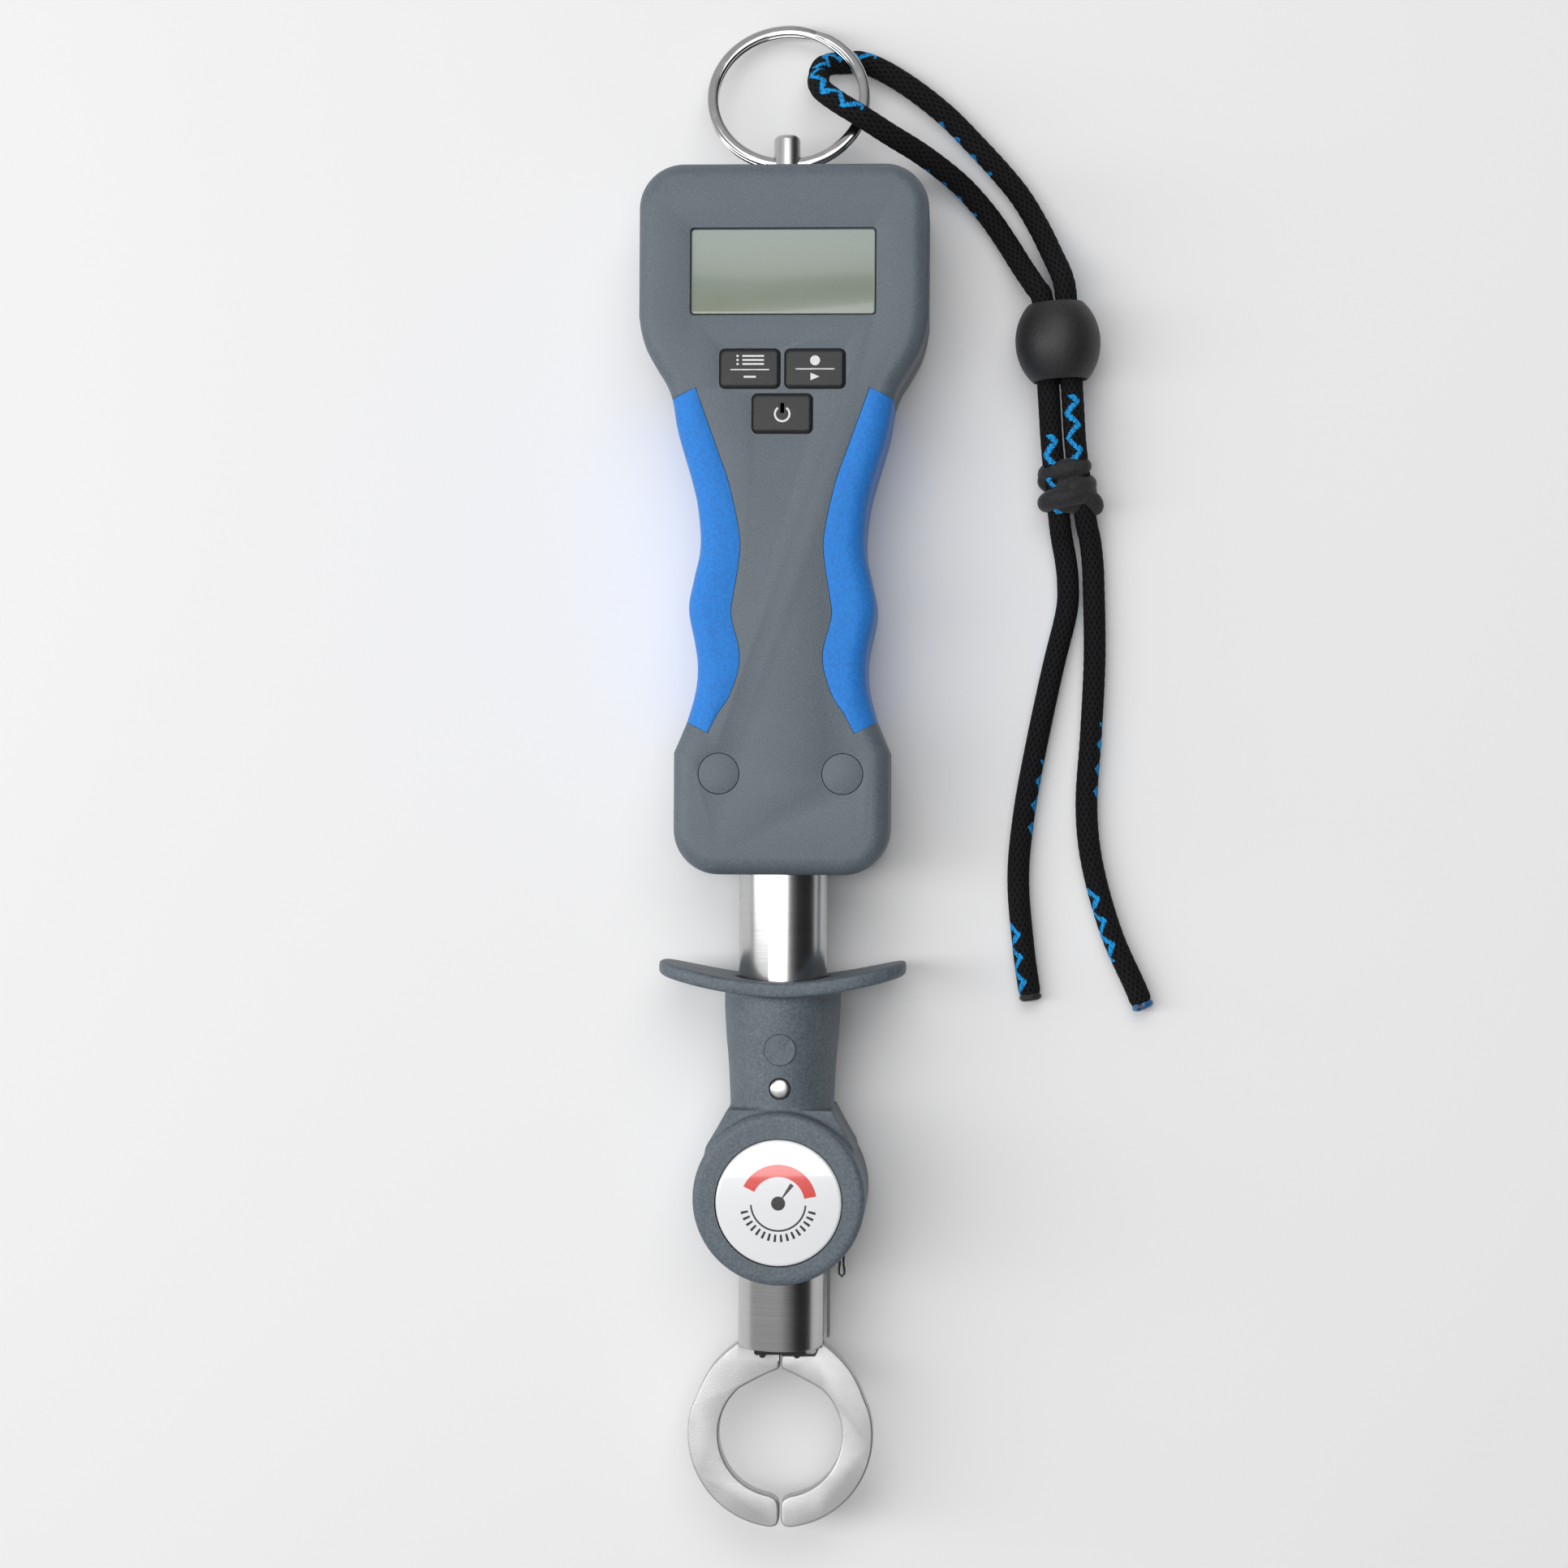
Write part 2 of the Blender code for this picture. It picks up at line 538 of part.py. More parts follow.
def battery_bay():
    half, low, high = COVER
    plate = rounded_rectangle((2 * half, high - low), 2.0, (0, (low + high) / 2))
    cover = prism("battery_cover", "housing", plate, 0, COVER_THICK)
    centre = (0, COVER_SCREW_Y, 0)
    cut(cover, rod("cut_cover_hole", "housing", "Z", centre, COVER_HOLE_R, -3, 5, 16))
    cut(cover, rod("cut_cover_head", "housing", "Z", centre, COVER_HEAD_R, -3, 1.2, 16))
    turned("cover_screw", "steel", "Z", centre, COVER_SCREW, 16)
    half, low, high = BAY
    middle = (0, (low + high) / 2)
    outer = rounded_rectangle((2 * half + 1.8, high - low + 1.8), 1.5, middle)
    inner = rounded_rectangle((2 * half + 0.4, high - low + 0.4), 0.9, middle)
    bottom, top = LID_DEPTH, GROOVE_DEPTH - GAP
    section = ((outer, bottom), (outer, top), (inner, top), (inner, bottom))
    rings = [[(x, y, z) for x, y in outline] for outline, z in section]
    solid("cover_seal", "rubber", rings, closed=True)
    start = (low + high - CELL_LENGTH) / 2
    for side, label in ((-1, "left"), (1, "right")):
        profile = [(r, along if side > 0 else CELL_LENGTH - along) for r, along in CELL_PROFILE]
        turned(f"battery_{label}", "cell", "Y", (side * CELL_X, start, CELL_Z), profile, 20)
    for label, y in (("lower", low + 0.3), ("upper", high - 0.8)):
        corner = (-CONTACT_HALF_WIDTH, y, CONTACT_Z[0])
        opposite = (CONTACT_HALF_WIDTH, y + CONTACT_THICK, CONTACT_Z[1])
        box(f"battery_contact_{label}", "steel", corner, opposite)


def ring_stud():
    profile = (
        (STUD_COLLAR_R, STUD_COLLAR_Y[0]), (STUD_COLLAR_R, STUD_COLLAR_Y[1]),
        (STUD_R, STUD_COLLAR_Y[1]), (STUD_R, STUD_TOP - 1.2), (STUD_R - 1.2, STUD_TOP),
    )
    stud = turned("ring_stud", "steel", "Y", (0, 0, AXIS_Z), profile, 24)
    hole_centre = (0, RING_HINGE_Y, AXIS_Z)
    cut(stud, rod("cut_ring_hole", "steel", "X", hole_centre, RING_WIRE_R + 0.5, -9, 9, 16))


def load_cell():
    """Bar with a long slot across it, which bends under load."""
    cell = box("load_cell", "aluminium", *LOAD_CELL_BOX)
    slot = []
    for y, start in zip(LOAD_SLOT_Y, (math.pi / 2, -math.pi / 2)):
        for i in range(9):
            a = start + math.pi * i / 8
            slot.append((y + LOAD_SLOT_R * math.cos(a), AXIS_Z + LOAD_SLOT_R * math.sin(a)))
    cutter = solid("cut_cell_slot", "aluminium", [[(x, y, z) for y, z in slot] for x in (-9, 9)])
    return cut(cell, cutter)


def tube_plug():
    """Steel plug in the tube's upper end, with a tongue under the load cell."""
    low, high = TUBE_PLUG_Y
    plug = rod("tube_plug", "steel", "Y", (0, 0, AXIS_Z), TUBE_BORE_R - GAP, low, high, 32)
    join(plug, box("plug_tongue", "steel", *TONGUE_BOX))
    centre = (0, CROSS_PIN_Y, AXIS_Z)
    cut(plug, rod("cut_cross", "steel", "X", centre, CROSS_PIN_R + GAP, -20, 20, 16))
    rod("tube_cross_pin", "steel", "X", centre, CROSS_PIN_R, -CROSS_PIN_HALF, CROSS_PIN_HALF, 16)
    return plug


def anchor_bracket():
    bracket = box("anchor_bracket", "steel", *BRACKET_BOX)
    for side in (-1, 1):
        low_x, high_x = sorted(side * x for x in FOOT_X)
        foot = ((low_x, FOOT_Y[0], FOOT_Z[0]), (high_x, FOOT_Y[1], FOOT_Z[1]))
        join(bracket, box(f"foot_{side}", "steel", *foot))
    return bracket


def load_path():
    ring_stud()
    cell, plug, bracket = load_cell(), tube_plug(), anchor_bracket()
    for label, y, base in (("lower", LOWER_BOLT_Y, plug), ("upper", UPPER_BOLT_Y, bracket)):
        cut(cell, rod(f"cut_cell_{label}", "steel", "Z", (0, y, 0), BOLT_HOLE_R, 5, 25, 16))
        cut(base, rod(f"cut_base_{label}", "steel", "Z", (0, y, 0), BOLT_HOLE_R, 5, 25, 16))
        turned(f"load_cell_bolt_{label}", "steel", "Z", (0, y, 0), LOAD_BOLT, 12)
    low, high = BUSH_Y
    bush = ((BORE_R, low), (BUSH_R, low), (BUSH_R, high), (BORE_R, high))
    turned("tube_bush", "rubber", "Y", (0, 0, AXIS_Z), bush, 24, closed=True)


def split_ring():
    rings = []
    for i in range(34):
        a = 2 * math.pi * i / 34
        ring = []
        for j in range(8):
            b = 2 * math.pi * j / 8
            reach = RING_R + RING_WIRE_R * math.cos(b)
            across, along = reach * math.cos(a), RING_R + reach * math.sin(a)
            up = RING_WIRE_R * math.sin(b)
            y = RING_HINGE_Y + along * math.cos(RING_TILT) + up * math.sin(RING_TILT)
            z = AXIS_Z - along * math.sin(RING_TILT) + up * math.cos(RING_TILT)
            ring.append((across, y, z))
        rings.append(ring)
    solid("split_ring", "steel", rings, closed=True, origin=(0, RING_HINGE_Y, AXIS_Z))


# ---- tube, slider and jaws ----

def tube():
    wall = ((TUBE_R, TUBE_TOP), (TUBE_R, TUBE_END), (TUBE_BORE_R, TUBE_END), (TUBE_BORE_R, TUBE_TOP))
    made = turned("tube", "steel", "Y", (0, 0, AXIS_Z), wall, 32, closed=True)
    slot = rounded_rectangle((5.2, TRAVEL + 5.2), 2.5, (0, SLIDER_PIN_Y + TRAVEL / 2))
    cut(made, prism("cut_pin_slots", "steel", slot, -5, 40))
    cut(made, box("cut_jaw_slots", "steel", (-20, -130, 12.2), (20, PIVOT_Y + 16.0, 17.8)))
    cross = (0, CROSS_PIN_Y, AXIS_Z)
    cut(made, rod("cut_cross_tube", "steel", "X", cross, CROSS_PIN_R + GAP, -20, 20, 16))
    cut(made, rod("cut_pivot_tube", "steel", "Z", (0, PIVOT_Y, 0), PIVOT_PIN_R + GAP, -5, 40, 16))
    rod("jaw_pivot_pin", "steel", "Z", (0, PIVOT_Y, 0), PIVOT_PIN_R, 5.8, 24.2, 16)


def flange(name):
    """A saddle-shaped plate whose tips reach towards the handle."""
    steps = 32
    rings = []
    for scale, top in ((1, True), (0.72, True), (0, True), (0, False), (0.72, False), (1, False)):
        ring = []
        for i in range(steps):
            a = 2 * math.pi * i / steps
            ca, sa = math.cos(a), math.sin(a)
            square = (abs(ca) ** 3.2 + abs(sa) ** 3.2) ** (-1 / 3.2)
            outer = Vector((FLANGE_HALF_WIDTH * square * ca, FLANGE_HALF_DEPTH * square * sa))
            inner = Vector((11.2 * ca, 11.2 * sa))
            p = inner.lerp(outer, scale)
            rise = FLANGE_TIP_RISE * (abs(p.x) / FLANGE_HALF_WIDTH) ** 1.7
            y = FLANGE_MID_Y + rise - (0 if top else FLANGE_THICK)
            ring.append((p.x, y, AXIS_Z + p.y))
        rings.append(ring)
    return solid(name, "housing", rings, closed=True)


def slider_half(name, face):
    """Half of the slider: flange, collar and disc around the tube."""
    body = turned(name, "housing", "Y", (0, 0, AXIS_Z), COLLAR, 32, origin=(0, 0, AXIS_Z))
    join(body, flange(f"flange_{name}"))
    web = list(WEB) + [(-x, y) for x, y in reversed(WEB)]
    join(body, prism(f"web_{name}", "housing", web, *WEB_Z))
    rim = ((DISC_R - 1.5, DISC_Z[0]), (DISC_R - 0.45, DISC_Z[0] + 0.45), (DISC_R, DISC_Z[0] + 1.5),
           (DISC_R, DISC_Z[1] - 1.5), (DISC_R - 0.45, DISC_Z[1] - 0.45), (DISC_R - 1.5, DISC_Z[1]))
    join(body, turned(f"disc_{name}", "housing", "Z", (0, DISC_Y, 0), rim, 40))
    cut(body, rod(f"bore_{name}", "housing", "Y", (0, 0, AXIS_Z), BORE_R, -120, -30, 32))
    pin_centre = (0, SLIDER_PIN_Y, 0)
    cut(body, rod(f"pin_hole_{name}", "housing", "Z", pin_centre, SLIDER_PIN_R + GAP, -5, 40, 20))
    split = AXIS_Z + (0.15 if face == "front" else -0.15)
    low, high = (-9, split) if face == "front" else (split, 39)
    cut(body, box(f"half_{name}", "housing", (-50, -130, low), (50, -20, high)))
    for side in (-1, 1):
        centre = (side * SLIDER_SCREW_X, DISC_Y, 0)
        cut(body, turned(f"screw_hole_{name}_{side}", "housing", "Z", centre, SCREW_HOLE, 12))
    return body


def slider():
    front = slider_half("slider_front", "front")
    slider_half("slider_back", "back")
    badge, plug = (0, BADGE_Y, 0), (0, SLIDER_PLUG_Y, 0)
    cut(front, rod("cut_badge", "housing", "Z", badge, BADGE_R + GAP, 27.2, 40, 32))
    cut(front, rod("cut_slider_plug", "housing", "Z", plug, SLIDER_PLUG_R + GAP, 20, 40, 24))
    turned("slider_badge", "badge", "Z", badge, BADGE_DOME, 32)
    rod("slider_plug", "housing", "Z", plug, SLIDER_PLUG_R, 25.2, 26.9, 24)
    rod("slider_pin", "steel", "Z", (0, SLIDER_PIN_Y, 0), SLIDER_PIN_R, 3.9, 26.3, 20)
    for side, label in ((-1, "left"), (1, "right")):
        centre = (side * SLIDER_SCREW_X, DISC_Y, 0)
        turned(f"slider_screw_{label}", "steel", "Z", centre, SLIDER_SCREW, 12)
    box("guide_strip", "steel", (9.65, -120.4, 5.2), (10.2, -104.1, 9.7))
    tube_along("wire_clip", "steel", smooth_route(CLIP, 1.0), 0.32)


def prong_outline(drive_y):
    angles = [math.pi + math.pi * i / 8 for i in range(9)]
    outline = [(PRONG_TIP_R * math.cos(a), drive_y + PRONG_TIP_R * math.sin(a)) for a in angles]
    wide, shoulder, root = PRONG_HALF_WIDTH, -100.0, -71.5
    return outline + [(wide, shoulder), (wide, root), (-wide, root), (-wide, shoulder)]


def drive():
    """Plunger, spring and pin that turn the slider's pull into the jaws' swing."""
    body = turned("plunger", "steel", "Y", (0, 0, AXIS_Z), PLUNGER, 32)
    drive_y = PIVOT_Y + DRIVE_START
    for label, low in (("front", AXIS_Z + 2.5), ("back", AXIS_Z - 4.5)):
        outline = prong_outline(drive_y)
        join(body, prism(f"prong_{label}", "steel", outline, low, low + PRONG_THICK))
    slider_pin, drive_pin = (0, SLIDER_PIN_Y, 0), (0, drive_y, 0)
    cut(body, rod("cut_plunger_pin", "steel", "Z", slider_pin, SLIDER_PIN_R + GAP, 0, 30, 20))
    cut(body, rod("cut_drive_pin", "steel", "Z", drive_pin, DRIVE_PIN_R + 0.2, 0, 30, 16))
    rod("drive_pin", "steel", "Z", drive_pin, DRIVE_PIN_R, AXIS_Z - 4.6, AXIS_Z + 4.6, 16)
    low, high = SPRING_Y
    coil = []
    for i in range(SPRING_TURNS * 10 + 1):
        a = 2 * math.pi * i / 10
        along = low + (high - low) * i / (SPRING_TURNS * 10)
        coil.append((SPRING_R * math.cos(a), along, AXIS_Z + SPRING_R * math.sin(a)))
    tube_along("return_spring", "steel", coil, SPRING_WIRE_R, 0)


def jaw_tail_point(side, travel):
    """Where the drive pin lies in the jaw's own frame when the slider has moved this far."""
    angle = JAW_SWING * travel / TRAVEL
    reach = DRIVE_START + travel
    return Vector((side * reach * math.sin(angle), PIVOT_Y + reach * math.cos(angle)))


def along_slot(side, radius, low, high, steps=10):
    """Outline of a band of this radius round the drive pin's path."""
    points = [jaw_tail_point(side, low + (high - low) * i / steps) for i in range(steps + 1)]
    left, right = [], []
    for i, p in enumerate(points):
        d = (points[min(i + 1, steps)] - points[max(i - 1, 0)]).normalized()
        left.append(p + Vector((-d.y, d.x)) * radius)
        right.append(p - Vector((-d.y, d.x)) * radius)

    def end_cap(centre, start):
        first = start - centre
        turns = [math.pi * k / 6 for k in range(1, 6)]
        return [centre + Vector((first.x * math.cos(t) + first.y * math.sin(t),
                                 -first.x * math.sin(t) + first.y * math.cos(t))) for t in turns]

    outline = left + end_cap(points[-1], left[-1]) + right[::-1] + end_cap(points[0], right[0])
    return [tuple(p) for p in outline]


def jaw_arm(side):
    """The hooked arm: half of a ring whose tip meets the other jaw's."""
    def arc(radius, start, stop, steps):
        angles = [math.radians(start + (stop - start) * i / steps) for i in range(steps + 1)]
        return [(radius * math.cos(a), JAW_RING_Y + radius * math.sin(a)) for a in angles]

    outer = [(0.2, -123.1), (12.0, -123.1), (14.6, -124.6), (17.3, -129.4)]
    outer += arc(JAW_OUTER_R, 18, -82, 16)
    tip = [(0.9, JAW_RING_Y - JAW_OUTER_R + 0.9), (0.2, JAW_RING_Y - JAW_OUTER_R + 2.6),
           (0.2, JAW_RING_Y - JAW_INNER_R - 1.5), (0.9, JAW_RING_Y - JAW_INNER_R - 0.3)]
    inner = arc(JAW_INNER_R, -80, 48, 15) + [(6.6, -129.7), (3.6, -127.9), (0.2, -126.1)]
    return [(side * x, y) for x, y in outer + tip + inner]


def jaw(name, side, low):
    """low is the plate's underside at the pivot; the arm is twice as thick and shared by both jaws."""
    pivot = (0, PIVOT_Y, AXIS_Z)
    bottom, top = AXIS_Z - ARM_HALF_THICK, AXIS_Z + ARM_HALF_THICK
    body = prism(name, "steel", jaw_arm(side), bottom, top, origin=pivot)
    shoulder = [(side * x, y) for x, y in SHOULDER]
    tail = along_slot(side, TAIL_R, -1.5, TRAVEL)
    high, centre = low + PLATE_THICK, (0, PIVOT_Y, 0)
    join(
        body,
        prism(f"shoulder_{name}", "steel", shoulder, low, high),
        rod(f"hub_{name}", "steel", "Z", centre, HUB_R, low, high, 28),
        prism(f"tail_{name}", "steel", tail, low, high),
    )
    cut(body, rod(f"pivot_hole_{name}", "steel", "Z", centre, PIVOT_PIN_R + 0.1, 0, 30, 20))
    slot = along_slot(side, DRIVE_PIN_R + 0.15, 0, TRAVEL)
    cut(body, prism(f"cam_slot_{name}", "steel", slot, 0, 30))


def jaws():
    jaw("jaw_left", -1, AXIS_Z + PLATE_MID_GAP)
    jaw("jaw_right", 1, AXIS_Z - PLATE_MID_GAP - PLATE_THICK)
    for label, low in (("front", AXIS_Z + 2.6), ("back", AXIS_Z - 5.9)):
        corner = (-SPACER_HALF_WIDTH, SPACER_Y[0], low)
        opposite = (SPACER_HALF_WIDTH, SPACER_Y[1], low + SPACER_THICK)
        spacer = box(f"jaw_spacer_{label}", "rubber", corner, opposite)
        hole_r = PIVOT_PIN_R + GAP
        cut(spacer, rod(f"spacer_hole_{label}", "rubber", "Z", (0, PIVOT_Y, 0), hole_r, 0, 30, 16))


# ---- lanyard ----

def tube_along(name, slot, points, radius, resolution=2):
    data = bpy.data.curves.new(name, "CURVE")
    data.dimensions = "3D"
    data.bevel_depth = radius * MM
    data.bevel_resolution = resolution
    data.use_fill_caps = True
    spline = data.splines.new("POLY")
    spline.points.add(len(points) - 1)
    for item, point in zip(spline.points, points):
        item.co = (*metres(point), 1.0)
    data.materials.append(finish(slot))
    obj = bpy.data.objects.new(name, data)
    bpy.context.collection.objects.link(obj)
    return obj


def smooth_route(points, spacing):
    """Points about this far apart on a smooth curve through the route's own points."""
    ends = [Vector(points[0]) * 2 - Vector(points[1]), Vector(points[-1]) * 2 - Vector(points[-2])]
    route = [ends[0]] + [Vector(p) for p in points] + [ends[1]]
    fine = []
    for p0, p1, p2, p3 in zip(route, route[1:], route[2:], route[3:]):
        for i in range(12):
            t = i / 12
            fine.append(0.5 * (2 * p1 + (p2 - p0) * t + (2 * p0 - 5 * p1 + 4 * p2 - p3) * t * t
                               + (3 * p1 - p0 - 3 * p2 + p3) * t ** 3))
    fine.append(route[-2])
    lengths = [0.0]
    for a, b in zip(fine, fine[1:]):
        lengths.append(lengths[-1] + (b - a).length)
    count = max(2, round(lengths[-1] / spacing))
    picked = []
    for k in range(count + 1):
        want = lengths[-1] * k / count
        i = max(j for j in range(len(fine) - 1) if lengths[j] <= want)
        picked.append(fine[i].lerp(fine[i + 1], (want - lengths[i]) / (lengths[i + 1] - lengths[i])))
    return picked


def bead():
    axis = BEAD_AXIS.normalized()
    across, up = Vector((-axis.y, axis.x, 0)), Vector((0, 0, 1))
    half = BEAD_LENGTH / 2
    profile = [(BEAD_BORE_R, -half)]
    for i in range(9):
        along = -half + BEAD_LENGTH * i / 8
        profile.append((math.sqrt(max(BEAD_R ** 2 - (along * 0.76) ** 2, 0)), along))
    profile.append((BEAD_BORE_R, half))
    rings = []
    for radius, along in profile:
        ring = []
        for i in range(24):
            a = 2 * math.pi * i / 24
            offset = across * (radius * math.cos(a)) + up * (radius * math.sin(a)) + axis * along
            ring.append(tuple(Vector(BEAD_CENTRE) + offset))
        rings.append(ring)
    solid("lanyard_bead", "housing", rings, closed=True, origin=BEAD_CENTRE)


def knot():
    rings = []
    for level in (-0.96, -0.7, -0.3, 0.3, 0.7, 0.96):
        spread = math.sqrt(1 - level ** 2)
        ring = []
        for i in range(20):
            a = 2 * math.pi * i / 20
            x = KNOT_CENTRE[0] + KNOT_HALF[0] * spread * math.cos(a)
            y = KNOT_CENTRE[1] + KNOT_HALF[1] * level
            ring.append((x, y, KNOT_CENTRE[2] + KNOT_HALF[2] * spread * math.sin(a)))
        rings.append(ring)
    solid("lanyard_knot", "cord", rings)


def thinned(points, step):
    """Every step-th point, keeping the first and the last."""
    return points[:-1:step] + points[-1:] if len(points) % step != 1 else points[::step]


def loop_pieces():
    """The loop through the ring, parted where the swinging bight meets the strands."""
    fine = smooth_route(LOOP, 0.5)
    inside = [i for i, p in enumerate(fine) if p.x < BIGHT_X and p.y > BIGHT_Y]
    bight = fine[inside[0]:inside[-1] + 1]
    return fine[:inside[0]], bight, fine[inside[-1] + 1:]


def lanyard():
    upper, bight, lower = loop_pieces()
    tube_along("lanyard_strand_upper", "cord", thinned(upper, 16), CORD_R)
    tube_along("lanyard_bight", "cord", thinned(bight, 8), CORD_R)
    tube_along("lanyard_strand_lower", "cord", thinned(lower, 16), CORD_R)
    tube_along("lanyard_tail_left", "cord", smooth_route(LEFT_TAIL, 9.0), CORD_R)
    tube_along("lanyard_tail_right", "cord", smooth_route(RIGHT_TAIL, 9.0), CORD_R)
    bead()
    knot()


clear_scene()
housing()
display()
keys()
battery_bay()
load_path()
split_ring()
tube()
slider()
drive()
jaws()
lanyard()
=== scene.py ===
"""Looks of a digital fish scale with a lip gripper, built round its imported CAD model.

Sizes here are millimetres in the drawing frame of the part, where the tube's axis is X = 0,
Z = AXIS_Z; metres() turns them into the row frame. Every piece is closed mesh work that stands
for a CAD node and rides on the same body.
"""

import math

import bmesh
import bpy
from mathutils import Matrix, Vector


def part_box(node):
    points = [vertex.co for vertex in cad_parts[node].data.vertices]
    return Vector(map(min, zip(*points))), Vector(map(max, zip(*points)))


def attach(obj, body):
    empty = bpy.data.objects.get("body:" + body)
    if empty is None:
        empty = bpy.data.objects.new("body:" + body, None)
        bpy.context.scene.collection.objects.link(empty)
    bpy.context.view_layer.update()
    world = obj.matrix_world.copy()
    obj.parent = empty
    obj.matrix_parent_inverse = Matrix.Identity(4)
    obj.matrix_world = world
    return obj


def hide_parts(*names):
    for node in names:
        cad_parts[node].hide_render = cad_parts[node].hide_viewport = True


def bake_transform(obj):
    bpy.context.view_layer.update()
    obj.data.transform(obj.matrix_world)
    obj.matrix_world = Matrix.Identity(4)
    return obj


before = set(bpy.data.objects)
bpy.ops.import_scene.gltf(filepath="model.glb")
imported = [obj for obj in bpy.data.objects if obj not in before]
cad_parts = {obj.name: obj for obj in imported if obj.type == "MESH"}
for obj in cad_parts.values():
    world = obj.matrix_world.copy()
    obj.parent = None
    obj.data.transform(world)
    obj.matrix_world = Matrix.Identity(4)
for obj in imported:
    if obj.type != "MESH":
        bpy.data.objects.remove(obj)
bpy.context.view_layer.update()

MM = 0.001
DATUM_Y = 2.73
TURN = 2 * math.pi
GAP = 0.3
FAR = 60.0

# Housing
AXIS_Z = 15.0
HOUSING_TOP, HOUSING_BASE = 131.5, -19.5
FRONT_Z, BACK_Z = 30.0, 0.0
HEAD_HALF_WIDTH, BASE_HALF_WIDTH = 30.8, 22.9
HEAD_CORNER, BASE_CORNER = 9.5, 9.6
SIDE_START, SIDE_END = 6.3, 99.0
SIDE_STATIONS = (
    (6.3, 22.9), (13.0, 20.1), (18.6, 18.1), (24.5, 17.55), (29.1, 18.1), (36.9, 19.5),
    (43.4, 18.4), (48.3, 17.3), (52.7, 17.1), (59.3, 17.8), (64.4, 19.0), (73.2, 21.6),
    (83.3, 24.2), (88.5, 27.2), (92.0, 29.1), (95.5, 30.2), (99.0, 30.8),
)
EDGE_RADIUS = 3.8
WALL, FRONT_SKIN, BACK_SKIN = 3.2, 3.0, 4.4
PARTING_HALF_GAP = 0.14
GRIP_STATIONS = (
    (10.6, 15.6), (14.7, 13.4), (18.2, 11.1), (24.2, 9.05), (28.4, 9.0), (35.5, 10.7),
    (39.4, 10.3), (46.4, 9.2), (51.6, 8.9), (63.0, 11.2), (70.0, 13.6), (83.6, 18.5),
)
GRIP_THICK, GRIP_CROWN, GRIP_SEAM = 1.2, 0.35, 0.12
GRIP_END_SLOPES = (0.5, -0.46)

# Display, keys and screws
DISPLAY_Y = 108.2
POCKET_SIZE, WINDOW_SIZE, PANEL_SIZE = (39.5, 18.6), (38.9, 17.9), (36.4, 15.4)
POCKET_FLOOR = 28.3
KEY_SIZE, KEY_CORNER = (12.75, 8.3), 1.2
KEYS = {"key_memory": (-6.9, 87.6), "key_record": (6.9, 87.6), "key_power": (0.0, 78.1)}
KEY_BOTTOM, KEY_TOP = 25.2, 30.4
LOWER_BOSS, UPPER_BOSS = (13.1, 1.95), (22.0, 121.0)
BOSS_R, PLUG_R = 4.25, 4.3
COVER = (13.0, 72.5, 127.2)
BAY = (11.3, 74.6, 121.2)
COVER_SCREW_Y = 124.4
BACK_SCREW = (  # radius, distance behind the tube's axis
    (0.7, -6.5), (1.2, -5.8), (1.2, 10.5), (2.9, 10.5), (2.9, 12.0), (2.6, 12.5), (1.9, 12.7),
)
COVER_SCREW = ((1.9, 0.1), (2.35, 0.2), (2.5, 0.4), (2.5, 0.9), (1.1, 0.9), (1.1, 7.4))

# Stud and split ring
RING_HINGE_Y, RING_R, RING_WIRE_R = 133.4, 16.5, 1.2
RING_TILT = math.radians(19)
STUD_R, STUD_TOP = 2.85, 139.8

# Tube, slider and jaws
TUBE_R, TUBE_BORE_R = 9.525, 8.325
TUBE_TOP, TUBE_END = -4.0, -121.3
TRAVEL = 10.0
BORE_R = TUBE_R + GAP
DISC_Y, DISC_R, DISC_BACK, DISC_FRONT = -88.2, 18.35, 0.5, 29.5
FLANGE_HALF_WIDTH, FLANGE_HALF_DEPTH = 26.6, 14.7
FLANGE_MID_Y, FLANGE_TIP_RISE, FLANGE_THICK = -42.4, 4.4, 3.1
BADGE_Y, BADGE_R = -88.9, 13.4
SLIDER_PIN_Y, SLIDER_PIN_R = -65.0, 2.15
SLIDER_PLUG_Y, SLIDER_PLUG_R = -56.7, 3.3
SLIDER_SCREW_X = 14.6
WEB = ((11.2, -69.5), (13.2, -73.2), (15.8, -77.6), (16.6, -82.0))  # fairing from collar to disc
PIVOT_Y, PIVOT_PIN_R, DRIVE_PIN_R, DRIVE_START = -116.5, 1.5, 1.2, 4.2
JAW_SWING = math.radians(28)
JAW_RING_Y, JAW_OUTER_R, JAW_INNER_R, JAW_HALF_THICK = -140.4, 20.0, 13.3, 2.2
PLATE_MID_GAP, PLATE_THICK = 0.2, 2.0
JAW_SHOULDER = ((9.3, -120.6), (12.1, -122.9), (14.8, -125.8), (17.0, -129.5), (18.7, -133.6))
JAW_THROAT = ((8.9, -130.5), (6.6, -129.2), (3.6, -127.6), (0.9, -126.4), (0.2, -126.1))

